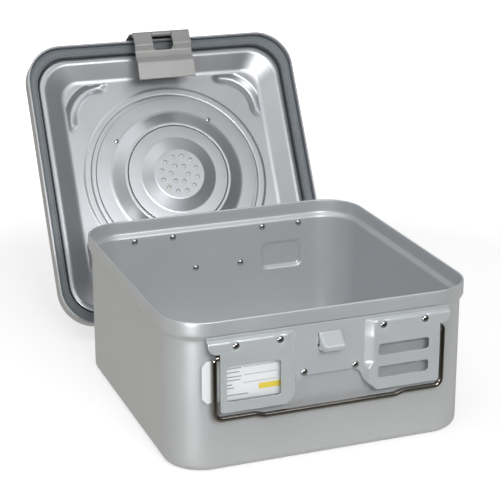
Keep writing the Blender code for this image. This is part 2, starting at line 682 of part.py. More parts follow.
def lid_profile():
    """Insets and heights of the lid's skin, from its top panel round the edge and back inside."""
    ridge_in = LID_RIDGE_WIDTH
    top = LID_RIDGE_HEIGHT
    return [(LID_PANEL_INSET, LID_PANEL_HEIGHT), (LID_GROOVE_INSET, LID_GROOVE_HEIGHT + LID_SHEET / 2),
            (ridge_in, LID_GROOVE_HEIGHT + LID_SHEET),
            (ridge_in - LID_RIDGE_ROUND / 2, top - LID_RIDGE_ROUND),
            (ridge_in - LID_RIDGE_ROUND, top), (LID_RIDGE_ROUND, top),
            (LID_RIDGE_ROUND / 4, top - LID_RIDGE_ROUND / 2), (0.0, top - LID_RIDGE_SHOULDER), (0.0, 0.0),
            (LID_SHEET, 0.0), (LID_SHEET, top - LID_SHEET - LID_RIDGE_ROUND / 2),
            (LID_SHEET + LID_RIDGE_ROUND / 2, top - LID_SHEET),
            (ridge_in - LID_RIDGE_ROUND - LID_SHEET / 2, top - LID_SHEET),
            (ridge_in - LID_SHEET, LID_GROOVE_HEIGHT),
            (LID_GROOVE_INSET - LID_SHEET / 2, LID_GROOVE_HEIGHT - LID_SHEET),
            (LID_GROOVE_INSET + LID_SHEET / 2, LID_GROOVE_HEIGHT - LID_SHEET / 2),
            (LID_PANEL_INSET + LID_SHEET / 2, LID_INNER_PANEL)]


def ring_pattern(rings):
    """Places on concentric circles, each from its radius, its count and its first angle in degrees."""
    places = []
    for radius, count, start in rings:
        for index in range(count):
            angle = math.radians(start) + 2 * math.pi * index / count
            places.append((radius * math.cos(angle), radius * math.sin(angle)))
    return places


def stud_places():
    """Places of the studs that hold the filter ring."""
    places = []
    for index in range(RING_STUD_COUNT):
        angle = math.radians(RING_STUD_TURN_DEGREES) + 2 * math.pi * index / RING_STUD_COUNT
        places.append((RING_STUD_RADIUS * math.cos(angle), RING_STUD_RADIUS * math.sin(angle)))
    return places


def bar_mesh(name, places, radius, low, high, steps):
    """Upright round bars, to cut patterns of holes."""
    bm = bmesh.new()
    for x, y in places:
        outline = [(x + point.x, y + point.y) for point in circle_ring(radius, 0.0, steps)]
        add_prism(bm, outline, low, high)
    return finish_mesh(name, bm)


def bracket_rivet_places():
    """Places of the latch bracket rivets over the lid's ridge, front and rear."""
    ridge_y = LID_DEPTH / 2 - LID_RIDGE_WIDTH / 2
    return [(side_x * BRACKET_RIVET_X, side_y * ridge_y) for side_y in (-1, 1) for side_x in (-1, 1)]


def build_lid_shell(lid, metal):
    """The drawn lid with its vents, stud holes and bracket rivet holes."""
    bm = bmesh.new()
    loft(bm, [lid_ring(inset, height) for inset, height in lid_profile()])
    shell = add_object("lid_shell", finish_mesh("lid_shell", bm), metal, lid)
    low = LID_INNER_PANEL - CUT_OVERRUN
    high = LID_PANEL_HEIGHT + CUT_OVERRUN
    vents = bar_mesh("vents", ring_pattern(VENT_RINGS), VENT_RADIUS, low, high, VENT_STEPS)
    studs = bar_mesh("stud_holes", stud_places(), STUD_SHANK + SEAT_GAP, low, high, RIVET_STEPS)
    rivets = bar_mesh("bracket_holes", bracket_rivet_places(), BRACKET_RIVET_SHANK + SEAT_GAP,
                      LID_RIDGE_HEIGHT - LID_SHEET - CUT_OVERRUN, LID_RIDGE_HEIGHT + CUT_OVERRUN,
                      RIVET_STEPS)
    for guide in (vents, studs, rivets):
        add_boolean(shell, add_cutter(guide.name, guide, lid), "DIFFERENCE")
    return shell


def build_gasket(lid, rubber):
    """The seal in the lid's channel, with a raised lip on each edge of its face."""
    outer = LID_SHEET + SEAT_GAP
    inner = LID_RIDGE_WIDTH - LID_RIDGE_ROUND - LID_SHEET / 2 - SEAT_GAP
    top = LID_RIDGE_HEIGHT - LID_SHEET - SEAT_GAP
    slant = LID_RIDGE_ROUND / 2
    profile = [(outer, GASKET_FACE), (outer + GASKET_LIP, GASKET_FACE),
               (outer + 2 * GASKET_LIP, GASKET_FACE + GASKET_LIP),
               (inner - 2 * GASKET_LIP, GASKET_FACE + GASKET_LIP), (inner - GASKET_LIP, GASKET_FACE),
               (inner, GASKET_FACE), (inner, top - slant), (inner - slant, top), (outer + slant, top),
               (outer, top - slant)]
    bm = bmesh.new()
    loft(bm, [lid_ring(inset, height) for inset, height in profile], closed=True)
    return add_object("lid_gasket", finish_mesh("lid_gasket", bm), rubber, lid)


def build_filter_stack(lid, materials):
    """Filter disc, its riveted ring with four studs, and the perforated cap."""
    disc_top = LID_INNER_PANEL - SEAT_GAP
    disc_low = disc_top - FILTER_THICKNESS
    disc = turned_mesh("filter_disc", [(FILTER_RADIUS, disc_low), (FILTER_RADIUS, disc_top)], TURN_STEPS)
    add_object("filter_disc", disc, materials["filter"], lid)
    flange_top = disc_low - SEAT_GAP
    flange_low = flange_top - RING_SHEET
    face = flange_low - RING_RISE
    collar_out = RING_COLLAR_RADIUS + RING_SHEET
    collar_top = face + RING_COLLAR_HEIGHT
    ring = [(RING_OUTER, flange_low), (RING_FOOT, flange_low), (RING_SHOULDER, face),
            (RING_COLLAR_RADIUS + RING_SHEET / 2, face), (RING_COLLAR_RADIUS, face + RING_SHEET / 2),
            (RING_COLLAR_RADIUS, collar_top), (collar_out, collar_top), (collar_out, face + RING_SHEET),
            (RING_SHOULDER, face + RING_SHEET), (RING_FOOT, flange_top), (RING_OUTER, flange_top)]
    holes = bar_mesh("ring_stud_holes", stud_places(), STUD_SHANK + SEAT_GAP,
                     flange_low - CUT_OVERRUN, flange_top + CUT_OVERRUN, RIVET_STEPS)
    piece = add_object("filter_ring", turned_mesh("filter_ring", ring, TURN_STEPS, closed=True),
                       materials["lid"], lid)
    add_boolean(piece, add_cutter("ring_stud_holes", holes, lid), "DIFFERENCE")
    build_studs(lid, flange_low, materials["rivet"])
    build_cap(lid, face, materials["lid"])


def build_studs(lid, flange_low, metal):
    """Four studs from the ring's flange through the lid panel."""
    head_top = flange_low - SEAT_GAP
    panel_top = LID_PANEL_HEIGHT + SEAT_GAP
    profile = [(STUD_SHANK, head_top - STUD_HEAD_HEIGHT), (STUD_HEAD, head_top - STUD_HEAD_HEIGHT / 2),
               (STUD_HEAD, head_top), (STUD_SHANK, head_top), (STUD_SHANK, panel_top),
               (STUD_HEAD, panel_top), (STUD_HEAD, panel_top + STUD_HEAD_HEIGHT / 2),
               (STUD_SHANK, panel_top + STUD_HEAD_HEIGHT)]
    mesh = turned_mesh("filter_stud", profile, RIVET_STEPS)
    for number, (x, y) in enumerate(stud_places(), 1):
        add_object(f"filter_stud_{number}", mesh, metal, lid, (x, y, 0.0))


def build_cap(lid, face, metal):
    """The perforated cap that pushes into the ring's collar."""
    radius = RING_COLLAR_RADIUS - SEAT_GAP
    inner = face + CAP_SHEET
    boss = face - CAP_BOSS_RISE
    profile = [(CAP_BOSS_RADIUS, boss), (CAP_SLOPE_OUTER, face), (radius - 2 * CAP_EDGE_ROUND, face),
               (radius - CAP_EDGE_ROUND, face + CAP_EDGE_ROUND), (radius, face + 2 * CAP_EDGE_ROUND),
               (radius, face + CAP_SKIRT_HEIGHT), (radius - CAP_SHEET, face + CAP_SKIRT_HEIGHT),
               (radius - CAP_SHEET, inner + 2 * CAP_EDGE_ROUND), (radius - 2 * CAP_EDGE_ROUND, inner),
               (CAP_SLOPE_OUTER - CAP_SHEET / 2, inner),
               (CAP_BOSS_RADIUS - CAP_SHEET / 2, boss + CAP_SHEET)]
    cap = add_object("filter_cap", turned_mesh("filter_cap", profile, TURN_STEPS), metal, lid)
    holes = bar_mesh("cap_holes", ring_pattern(CAP_HOLE_RINGS), CAP_HOLE_RADIUS,
                     boss - CUT_OVERRUN, boss + CAP_SHEET + CUT_OVERRUN, CAP_HOLE_STEPS)
    add_boolean(cap, add_cutter("cap_holes", holes, lid), "DIFFERENCE")
    return cap


def latch_outline():
    """Side view of the folded latch flap, as distance in from the pin and height over it."""
    dish = -LATCH_KNUCKLE + LATCH_DISH_DEPTH
    outer = [(0.0, -LATCH_KNUCKLE), (LATCH_DISH_START, dish), (LATCH_DISH_END, dish),
             (LATCH_RIDGE_START, -LATCH_KNUCKLE), (LATCH_LENGTH, -LATCH_KNUCKLE + LATCH_TIP_DROP)]
    inner = [(x, height + LATCH_SHEET) for x, height in reversed(outer)]
    return outer + inner


def knuckle_outline(radius):
    """A round section about the latch pin."""
    return [(point.x, point.y) for point in circle_ring(radius, 0.0, LATCH_KNUCKLE_STEPS)]


# In this frame an outline's X runs inward over the lid and its Y runs up
INWARD_VIEW = Matrix(((0, 0, 1, 0), (1, 0, 0, 0), (0, 1, 0, 0), (0, 0, 0, 1)))


def latch_meshes():
    """The flap's sheet, its knuckles, and the window and bore that are cut from them."""
    half = LATCH_WIDTH / 2
    sheet = bmesh.new()
    add_prism(sheet, latch_outline(), -half, half, INWARD_VIEW)
    knuckle = bmesh.new()
    add_prism(knuckle, knuckle_outline(LATCH_KNUCKLE), -half, half, INWARD_VIEW)
    cuts = bmesh.new()
    middle = (LATCH_WINDOW_END - LATCH_KNUCKLE - CUT_OVERRUN) / 2
    length = LATCH_WINDOW_END + LATCH_KNUCKLE + CUT_OVERRUN
    window = rounded_box_outline((0.0, middle), 2 * LATCH_WINDOW_HALF_WIDTH, length, LATCH_WINDOW_CORNER)
    add_prism(cuts, window, -LATCH_KNUCKLE - CUT_OVERRUN, LATCH_KNUCKLE + CUT_OVERRUN)
    bore = bmesh.new()
    add_prism(bore, knuckle_outline(LATCH_PIN_RADIUS + BORE_GAP), -half - CUT_OVERRUN, half + CUT_OVERRUN,
              INWARD_VIEW)
    names = ("latch_flap", "flap_knuckle", "flap_window", "flap_bore")
    return [finish_mesh(name, bm) for name, bm in zip(names, (sheet, knuckle, cuts, bore))]


def bracket_meshes():
    """The bracket's bent sheet, its middle knuckle, and its rivet holes."""
    half = LATCH_WIDTH / 2
    pin_y = -(LID_DEPTH / 2 + KNUCKLE_OUT)
    strap_out = BRACKET_OUT
    strap_in = strap_out - LATCH_SHEET
    flange_low = LID_RIDGE_HEIGHT + SEAT_GAP
    flange_top = flange_low + LATCH_SHEET
    strap_low = LATCH_KNUCKLE + SEAT_GAP - LATCH_PIN_DROP
    edge = LID_DEPTH / 2
    low_out = edge + KNUCKLE_OUT + LATCH_KNUCKLE
    low_in = low_out - LATCH_SHEET
    outline = [(edge + strap_out - BRACKET_FLANGE, flange_low), (edge + strap_in - LATCH_SHEET, flange_low),
               (edge + strap_in, flange_low - LATCH_SHEET), (edge + strap_in, -BRACKET_KNEE_DROP),
               (low_in, strap_low), (low_out, strap_low),
               (edge + strap_out, -BRACKET_KNEE_DROP), (edge + strap_out, flange_top - LATCH_SHEET),
               (edge + strap_out - LATCH_SHEET, flange_top),
               (edge + strap_out - BRACKET_FLANGE, flange_top)]
    knuckle_half = LATCH_WINDOW_HALF_WIDTH - 2 * SEAT_GAP
    sheet = bmesh.new()
    add_prism(sheet, outline, -half, half, SIDE_VIEW)
    knuckle = bmesh.new()
    section = [(-pin_y + x, z - LATCH_PIN_DROP) for x, z in knuckle_outline(LATCH_KNUCKLE)]
    add_prism(knuckle, section, -knuckle_half, knuckle_half, SIDE_VIEW)
    web = bmesh.new()
    add_block(web, (-knuckle_half, -low_out, -LATCH_PIN_DROP), (knuckle_half, -low_in, strap_low + SEAT_GAP))
    bore = bmesh.new()
    section = [(-pin_y + x, z - LATCH_PIN_DROP) for x, z in knuckle_outline(LATCH_PIN_RADIUS + BORE_GAP)]
    add_prism(bore, section, -half, half, SIDE_VIEW)
    names = ("bracket", "bracket_knuckle", "bracket_web", "bracket_bore")
    return [finish_mesh(name, bm) for name, bm in zip(names, (sheet, knuckle, web, bore))]


def build_latches(lid_sides, materials):
    """Bracket, pin, flap and two rivets on the front and the rear edge of the lid."""
    flap, knuckle, window, flap_bore = latch_meshes()
    bracket, bracket_knuckle, web, bracket_bore = bracket_meshes()
    pin_place = (0.0, -(LID_DEPTH / 2 + KNUCKLE_OUT), -LATCH_PIN_DROP)
    pin_bm = bmesh.new()
    add_prism(pin_bm, knuckle_outline(LATCH_PIN_RADIUS), -LATCH_WIDTH / 2, LATCH_WIDTH / 2, INWARD_VIEW)
    pin = finish_mesh("latch_pin", pin_bm)
    holes = bar_mesh("bracket_rivet_holes", [(-BRACKET_RIVET_X, bracket_rivet_places()[0][1]),
                                             (BRACKET_RIVET_X, bracket_rivet_places()[0][1])],
                     BRACKET_RIVET_SHANK + SEAT_GAP, LID_RIDGE_HEIGHT,
                     LID_RIDGE_HEIGHT + LATCH_SHEET + CUT_OVERRUN, RIVET_STEPS)
    rivet = bracket_rivet_mesh()
    for side_name, side in lid_sides.items():
        piece = add_object(f"{side_name}_latch_bracket", bracket, materials["steel"], side)
        add_boolean(piece, add_cutter(f"{side_name}_bracket_web", web, side), "UNION")
        add_boolean(piece, add_cutter(f"{side_name}_bracket_knuckle", bracket_knuckle, side), "UNION")
        add_boolean(piece, add_cutter(f"{side_name}_bracket_bore", bracket_bore, side), "DIFFERENCE")
        add_boolean(piece, add_cutter(f"{side_name}_bracket_holes", holes, side), "DIFFERENCE")
        add_object(f"{side_name}_latch_pin", pin, materials["rivet"], side, pin_place)
        hinge = make_empty(f"{side_name}_latch_hinge", side, Matrix.Translation(pin_place))
        latch = add_object(f"{side_name}_latch_flap", flap, materials["steel"], hinge)
        add_boolean(latch, add_cutter(f"{side_name}_flap_knuckle", knuckle, hinge), "UNION")
        add_boolean(latch, add_cutter(f"{side_name}_flap_window", window, hinge), "DIFFERENCE")
        add_boolean(latch, add_cutter(f"{side_name}_flap_bore", flap_bore, hinge), "DIFFERENCE")
        for number, (x, y) in enumerate(bracket_rivet_places()[:2], 1):
            add_object(f"{side_name}_latch_rivet_{number}", rivet, materials["rivet"], side, (x, y, 0.0))


def bracket_rivet_mesh():
    """A rivet through the bracket's flange and the lid's ridge, flush inside."""
    head_low = LID_RIDGE_HEIGHT + LATCH_SHEET + 2 * SEAT_GAP
    profile = [(BRACKET_RIVET_SHANK, LID_RIDGE_HEIGHT - LID_SHEET), (BRACKET_RIVET_SHANK, head_low),
               (BRACKET_RIVET_HEAD, head_low), (BRACKET_RIVET_HEAD, head_low + STUD_HEAD_HEIGHT / 2),
               (BRACKET_RIVET_SHANK, head_low + STUD_HEAD_HEIGHT)]
    return turned_mesh("latch_rivet", profile, RIVET_STEPS)


def make_materials():
    """One material for each kind of surface."""
    return {"tub": make_material("satin anodised aluminium", ALUMINIUM, 0.45, 1.0),
            "lid": make_material("bright anodised aluminium", LID_ALUMINIUM, 0.32, 1.0),
            "plate": make_material("satin stainless sheet", PLATE_GREY, 0.42, 1.0),
            "rivet": make_material("aluminium rivet", POLISHED, 0.30, 1.0),
            "wire": make_material("polished stainless wire", POLISHED, 0.12, 1.0),
            "steel": make_material("brushed stainless steel", STAINLESS, 0.38, 1.0),
            "rubber": make_material("grey silicone rubber", SILICONE, 0.60, 0.0),
            "card": make_material("white label card", CARD_WHITE, 0.55, 0.0),
            "filter": make_material("filter paper", FILTER_WHITE, 0.85, 0.0)}


def main():
    """Clear the scene and build the tub side and the lid side."""
    for leftover in list(bpy.data.objects):
        bpy.data.objects.remove(leftover)
    materials = make_materials()
    half_turn = Matrix.Rotation(math.pi, 4, "Z")
    sides = {"front": make_empty("front_side"), "rear": make_empty("rear_side", matrix=half_turn)}
    build_tub(sides, materials["tub"])
    build_side_fittings(sides, materials)
    tilt = Matrix.Rotation(-LID_TILT - math.pi / 2, 4, "X")
    yaw = Matrix.Rotation(math.radians(LID_YAW_DEGREES), 4, "Z")
    centre = Matrix.Translation((LID_CENTRE_X, LID_CENTRE_Y, LID_CENTRE_Z))
    lid = make_empty("lid_frame", matrix=centre @ yaw @ tilt)
    lid_sides = {"front": make_empty("lid_front", lid), "rear": make_empty("lid_rear", lid, half_turn)}
    build_lid_shell(lid, materials["lid"])
    build_gasket(lid, materials["rubber"])
    build_filter_stack(lid, materials)
    build_latches(lid_sides, materials)
    bpy.context.view_layer.update()


main()
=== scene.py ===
"""Sterilization container: what shows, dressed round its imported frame.

An open satin aluminium tub carries a pressed fitting plate on each end wall. Its
lid stands behind it, inside face forward, with its seal, filter ring, perforated
cap and two latches. All lengths are in metres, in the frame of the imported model.
"""

import logging
from dataclasses import dataclass, field
from enum import Enum
from math import cos, pi, radians, sin, tan
from typing import Any, Callable, Sequence

import bpy
import numpy as np
from mathutils import Matrix


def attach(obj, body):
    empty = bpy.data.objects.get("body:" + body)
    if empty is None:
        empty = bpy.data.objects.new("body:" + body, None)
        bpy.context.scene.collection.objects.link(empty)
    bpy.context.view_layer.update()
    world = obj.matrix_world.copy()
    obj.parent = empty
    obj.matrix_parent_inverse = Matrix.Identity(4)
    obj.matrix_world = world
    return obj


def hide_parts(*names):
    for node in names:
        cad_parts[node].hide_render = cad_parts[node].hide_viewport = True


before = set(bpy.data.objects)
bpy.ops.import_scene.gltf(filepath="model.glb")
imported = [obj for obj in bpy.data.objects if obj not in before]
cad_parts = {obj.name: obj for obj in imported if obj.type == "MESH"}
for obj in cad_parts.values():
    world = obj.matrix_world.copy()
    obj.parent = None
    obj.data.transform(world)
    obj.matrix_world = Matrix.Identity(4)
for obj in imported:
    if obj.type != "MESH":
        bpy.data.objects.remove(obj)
LOG = logging.getLogger("container")
Array = np.ndarray


class Side(Enum):
    """An end wall of the tub, or the lid's edge that closes over it."""

    FRONT = "front"
    REAR = "rear"


class Grain(Enum):
    """How a metal surface was worked, as the stretch of its grain along X, Y and Z."""

    ETCHED = (1.0, 1.0, 1.0)
    BRUSHED_UP = (1.0, 0.06, 0.06)
    BRUSHED_ALONG = (0.05, 1.0, 1.0)


# Surfaces


@dataclass
class Surface:
    """Points with faces of four and of three corners."""

    points: Array
    quads: Array
    tris: Array = field(default_factory=lambda: np.empty((0, 3), dtype=np.int64))

    def joined(self, other: "Surface") -> "Surface":
        """This surface and another as one."""
        shift = len(self.points)
        return Surface(np.vstack((self.points, other.points)), np.vstack((self.quads, other.quads + shift)),
                       np.vstack((self.tris, other.tris + shift)))

    def moved(self, matrix: Matrix) -> "Surface":
        """The surface carried by a rigid matrix."""
        turn = np.array(matrix.to_3x3())
        return Surface(self.points @ turn.T + np.array(matrix.to_translation()), self.quads, self.tris)

    def outward(self) -> "Surface":
        """The closed surface with its faces pointing out.

        The enclosed volume is a sixth of the sum of a . (b x c) over its triangles a, b, c;
        a negative sum means that the faces point in.
        """
        corners = np.vstack((self.quads[:, (0, 1, 2)], self.quads[:, (0, 2, 3)], self.tris))
        a, b, c = (self.points[corners[:, index]] for index in range(3))
        if np.einsum("ij,ij->", a, np.cross(b, c)) < 0:
            return Surface(self.points, self.quads[:, ::-1], self.tris[:, ::-1])
        return self


def loft(rings: Array, closed_profile: bool = False, poles: bool = False) -> Surface:
    """Skin of rings of equal count.

    Point (i, j) joins (i, j + 1), (i + 1, j + 1) and (i + 1, j), with j running round.

    Args:
        rings: Ring points, shaped rings by points by 3.
        closed_profile: True joins the last ring to the first one.
        poles: True closes both ends with a point in the middle of the end ring.

    Returns:
        The skinned surface.
    """
    rows, columns = rings.shape[:2]
    row, column = np.meshgrid(np.arange(rows if closed_profile else rows - 1), np.arange(columns),
                              indexing="ij")
    after = (column + 1) % columns
    above = (row + 1) % rows
    quads = np.stack((row * columns + column, row * columns + after, above * columns + after,
                      above * columns + column), axis=-1).reshape(-1, 4)
    surface = Surface(rings.reshape(-1, 3), quads)
    if poles:
        steps = np.arange(columns)
        following = (steps + 1) % columns
        last = (rows - 1) * columns
        count = rows * columns
        ends = np.stack((rings[0].mean(axis=0), rings[-1].mean(axis=0)))
        first_fan = np.stack((following, steps, np.full(columns, count)), axis=-1)
        last_fan = np.stack((last + steps, last + following, np.full(columns, count + 1)), axis=-1)
        surface = Surface(np.vstack((surface.points, ends)), quads, np.vstack((first_fan, last_fan)))
    return surface.outward()


def turned(profile: Array, steps: int, ring: bool = False) -> Surface:
    """Body or ring turned about Z: (r, z) goes to (r cos t, r sin t, z) round the circle."""
    turn = 2 * pi * np.arange(steps) / steps
    radius, height = profile[:, 0, None], profile[:, 1, None]
    rings = np.stack((radius * np.cos(turn), radius * np.sin(turn), height + 0 * turn), axis=-1)
    return loft(rings, closed_profile=ring, poles=not ring)


def bars_round(profile: Array, circles: Sequence[tuple[float, int, float]]) -> Surface:
    """Turned bars on circles about Z, given as radius, count and first angle in degrees."""
    bars = None
    for radius, count, start in circles:
        for index in range(count):
            turn = radians(start) + 2 * pi * index / count
            bar = turned(profile, 20).moved(Matrix.Translation((radius * cos(turn), radius * sin(turn), 0.0)))
            bars = bar if bars is None else bars.joined(bar)
    return bars


def filleted(corners: Sequence[Sequence[float]], radii: Sequence[float], steps: int = 6,
             closed: bool = False) -> Array:
    """Broken line with its corners rounded.

    A corner that turns by w with radius r starts r tan(w / 2) before it. The arc's centre
    lies r / cos(w / 2) from the corner, along the difference of the two leg directions.

    Args:
        corners: Corner points in a plane.
        radii: One radius for each corner; zero keeps it sharp.
        steps: Segments of each arc.
        closed: True for an outline that runs round.

    Returns:
        Points of the rounded line.
    """
    points = np.asarray(corners, dtype=float)
    count = len(points)
    result = []
    for index, radius in enumerate(radii):
        ends = not closed and index in (0, count - 1)
        if ends or radius == 0.0:
            result.append(points[index][None, :])
            continue
        before = points[index] - points[index - 1]
        after = points[(index + 1) % count] - points[index]
        before /= np.linalg.norm(before)
        after /= np.linalg.norm(after)
        turn = np.arccos(np.clip(before @ after, -1.0, 1.0))
        inward = (after - before) / np.linalg.norm(after - before)
        centre = points[index] + inward * radius / cos(turn / 2)
        start = points[index] - before * radius * tan(turn / 2) - centre
        end = points[index] + after * radius * tan(turn / 2) - centre
        share = np.linspace(0.0, 1.0, steps + 1)[:, None]
        arc = (np.sin((1 - share) * turn) * start + np.sin(share * turn) * end) / sin(turn)
        result.append(centre + arc)
    return np.vstack(result)


def arc(centre: Sequence[float], radius: float, start: float, end: float, steps: int) -> Array:
    """Points (cx + r cos t, cy + r sin t) for t from start to end, in degrees."""
    turn = np.radians(np.linspace(start, end, steps + 1))
    return np.stack((centre[0] + radius * np.cos(turn), centre[1] + radius * np.sin(turn)), axis=-1)


def soft_step(value: Array) -> Array:
    """Smooth rise 3 v^2 - 2 v^3 from 0 to 1 over v from 0 to 1."""
    share = np.clip(value, 0.0, 1.0)
    return share * share * (3 - 2 * share)


def soft_least(first: Array, second: Array, width: float) -> Array:
    """Lesser of two values, with the corner between them rounded over a width.

    With h = max(width - |a - b|, 0) / width, the result is min(a, b) - h^2 width / 4.
    """
    near = np.maximum(width - np.abs(first - second), 0.0) / width
    return np.minimum(first, second) - near * near * width / 4


@dataclass(frozen=True)
class RoundedBox:
    """Rounded rectangle in a plane."""

    centre: tuple[float, float]
    half: tuple[float, float]
    radius: float = 0.0

    def distance(self, u: Array, v: Array) -> Array:
        """Signed distance to the edge, negative inside.

        With q = |p - c| - (half - r), it is |max(q, 0)| + min(max(qu, qv), 0) - r.
        """
        over_u = np.abs(u - self.centre[0]) - self.half[0] + self.radius
        over_v = np.abs(v - self.centre[1]) - self.half[1] + self.radius
        outside = np.hypot(np.maximum(over_u, 0.0), np.maximum(over_v, 0.0))
        return outside + np.minimum(np.maximum(over_u, over_v), 0.0) - self.radius


def lines_between(stops: Sequence[float], step: float) -> Array:
    """Grid lines that pass through all stops, no farther apart than a step."""
    stops = sorted(set(stops))
    runs = [np.linspace(low, high, max(int(np.ceil((high - low) / step)), 1) + 1)[:-1]
            for low, high in zip(stops, stops[1:])]
    return np.concatenate(runs + [np.array([stops[-1]])])


def sheet(u_lines: Array, v_lines: Array, distance: Callable[[Array, Array], Array],
          shape: Callable[[Array, Array], Array], thickness: float) -> Surface:
    """Closed sheet of metal cut to an outline and formed.

    Grid points within about half a cell of the outline move onto it, by minus the signed
    distance along its gradient. Cells whose middle lies outside are left out. The back is
    shape(u, v), and the front stands one thickness off along the surface normal.

    Args:
        u_lines: Grid lines across the sheet.
        v_lines: Grid lines along the sheet.
        distance: Signed distance to the outline, negative in the material.
        shape: Place of the back of the sheet for each u and v.
        thickness: Sheet thickness.

    Returns:
        The closed surface.
    """
    u, v = np.meshgrid(u_lines, v_lines)
    cell = 0.55 * np.maximum(np.gradient(u_lines)[None, :], np.gradient(v_lines)[:, None])
    nudge = 1e-6
    away = distance(u, v)
    slope_u = (distance(u + nudge, v) - distance(u - nudge, v)) / (2 * nudge)
    slope_v = (distance(u, v + nudge) - distance(u, v - nudge)) / (2 * nudge)
    near = np.abs(away) < cell
    u = np.where(near, u - away * slope_u, u)
    v = np.where(near, v - away * slope_v, v)
    back = shape(u, v)
    normal = np.cross(np.gradient(back, axis=1), np.gradient(back, axis=0))
    normal /= np.maximum(np.linalg.norm(normal, axis=-1, keepdims=True), 1e-12)
    rows, columns = u.shape
    row, column = (item.ravel() for item in np.meshgrid(np.arange(rows - 1), np.arange(columns - 1),
                                                        indexing="ij"))
    faces = np.stack((row * columns + column, row * columns + column + 1,
                      (row + 1) * columns + column + 1, (row + 1) * columns + column), axis=-1)
    middle_u = u.ravel()[faces].mean(axis=1)
    middle_v = v.ravel()[faces].mean(axis=1)
    faces = faces[distance(middle_u, middle_v) < 0.0]
    used, faces = np.unique(faces, return_inverse=True)
    faces = faces.reshape(-1, 4)
    count = len(used)
    edges = np.vstack([faces[:, (index, (index + 1) % 4)] for index in range(4)])
    keys = np.sort(edges, axis=1)
    _, where, repeats = np.unique(keys[:, 0] * count + keys[:, 1], return_index=True, return_counts=True)
    rim = edges[where[repeats == 1]]
    walls = np.stack((rim[:, 0], rim[:, 1], rim[:, 1] + count, rim[:, 0] + count), axis=-1)
    back_points = back.reshape(-1, 3)[used]
    front_points = back_points + thickness * normal.reshape(-1, 3)[used]
    quads = np.vstack((faces[:, ::-1], faces + count, walls))
    return Surface(np.vstack((back_points, front_points)), quads).outward()


@dataclass(frozen=True)
class Route:
    """Broken line that is read by its running length."""

    points: Array

    @property
    def marks(self) -> Array:
        """Running length at each point."""
        steps = np.linalg.norm(np.diff(self.points, axis=0), axis=1)
        return np.concatenate(([0.0], np.cumsum(steps)))

    def at(self, length: Array) -> tuple[Array, Array]:
        """The two coordinates at a running length."""
        marks = self.marks
        return np.interp(length, marks, self.points[:, 0]), np.interp(length, marks, self.points[:, 1])


def tube(path: Array, radius: float, sides: int = 20, end_steps: int = 4) -> Surface:
    """Round wire along a path in a plane of constant Y, with domed ends.

    With tangent t and n = Y x t, ring j is p + r (cos j n + sin j Y). Each end goes on for
    r sin a while its radius falls as r cos a.

    Args:
        path: Centre line, shaped points by 3.
        radius: Radius of the wire.
        sides: Points round the wire.
        end_steps: Rings of each domed end.

    Returns:
        The closed surface.
    """
    tangent = np.gradient(path, axis=0)
    tangent /= np.linalg.norm(tangent, axis=1, keepdims=True)
    rise = np.linspace(0.0, 0.46 * pi, end_steps + 1)[1:]
    start = path[0] - tangent[0] * radius * np.sin(rise[::-1, None])
    end = path[-1] + tangent[-1] * radius * np.sin(rise[:, None])
    centres = np.vstack((start, path, end))
    tangents = np.vstack((np.repeat(tangent[:1], end_steps, 0), tangent,
                          np.repeat(tangent[-1:], end_steps, 0)))
    radii = radius * np.concatenate((np.cos(rise[::-1]), np.ones(len(path)), np.cos(rise)))
    across = np.array((0.0, 1.0, 0.0))
    normal = np.cross(across, tangents)
    turn = 2 * pi * np.arange(sides) / sides
    spread = (np.cos(turn)[None, :, None] * normal[:, None, :] + np.sin(turn)[None, :, None] * across)
    return loft(centres[:, None, :] + radii[:, None, None] * spread, poles=True)


@dataclass(frozen=True)
class RingPlan:
    """Where the points of rounded rectangles stand, as shares of their sides and corners."""

    along_x: Array
    along_y: Array
    corner_steps: int

    def rings(self, half_x: Array, half_y: Array, radius: Array) -> Array:
        """Rounded rectangles, anticlockwise from the middle of the +X side's upper end.

        A corner point is its centre plus r (cos t, sin t); a side point at share s lies at
        (1 - s) a + s b between the ends a and b of two corners.

        Args:
            half_x: Half the size along X of each ring.
            half_y: Half the size along Y of each ring.
            radius: Corner radius of each ring.

        Returns:
            Points shaped rings by points by 2.
        """
        half_x, half_y, radius = (np.asarray(item, dtype=float)[:, None] for item in (half_x, half_y, radius))
        turn = np.linspace(0.0, pi / 2, self.corner_steps + 1)[None, :]
        corners = []
        for quarter, (side_x, side_y) in enumerate(((1, 1), (-1, 1), (-1, -1), (1, -1))):
            angle = turn + quarter * pi / 2
            corners.append(np.stack((side_x * (half_x - radius) + radius * np.cos(angle),
                                     side_y * (half_y - radius) + radius * np.sin(angle)), axis=-1))
        parts = []
        for quarter, corner in enumerate(corners):
            following = corners[(quarter + 1) % 4]
            share = (self.along_x if quarter % 2 == 0 else self.along_y)[None, :, None]
            parts += [corner, (1 - share) * corner[:, -1:] + share * following[:, :1]]
        return np.concatenate(parts, axis=1)


def with_heights(flat: Array, heights: Array) -> Array:
    """Flat rings lifted to their heights."""
    return np.concatenate((flat, np.broadcast_to(heights[:, None, None], flat.shape[:2] + (1,))), axis=2)


# Materials


def linear(code: str) -> tuple[float, float, float, float]:
    """An sRGB hex colour as linear red, green, blue and full alpha."""
    channels = np.array([int(code[index:index + 2], 16) for index in (1, 3, 5)]) / 255
    low = channels / 12.92
    high = ((channels + 0.055) / 1.055) ** 2.4
    return (*np.where(channels <= 0.04045, low, high).tolist(), 1.0)


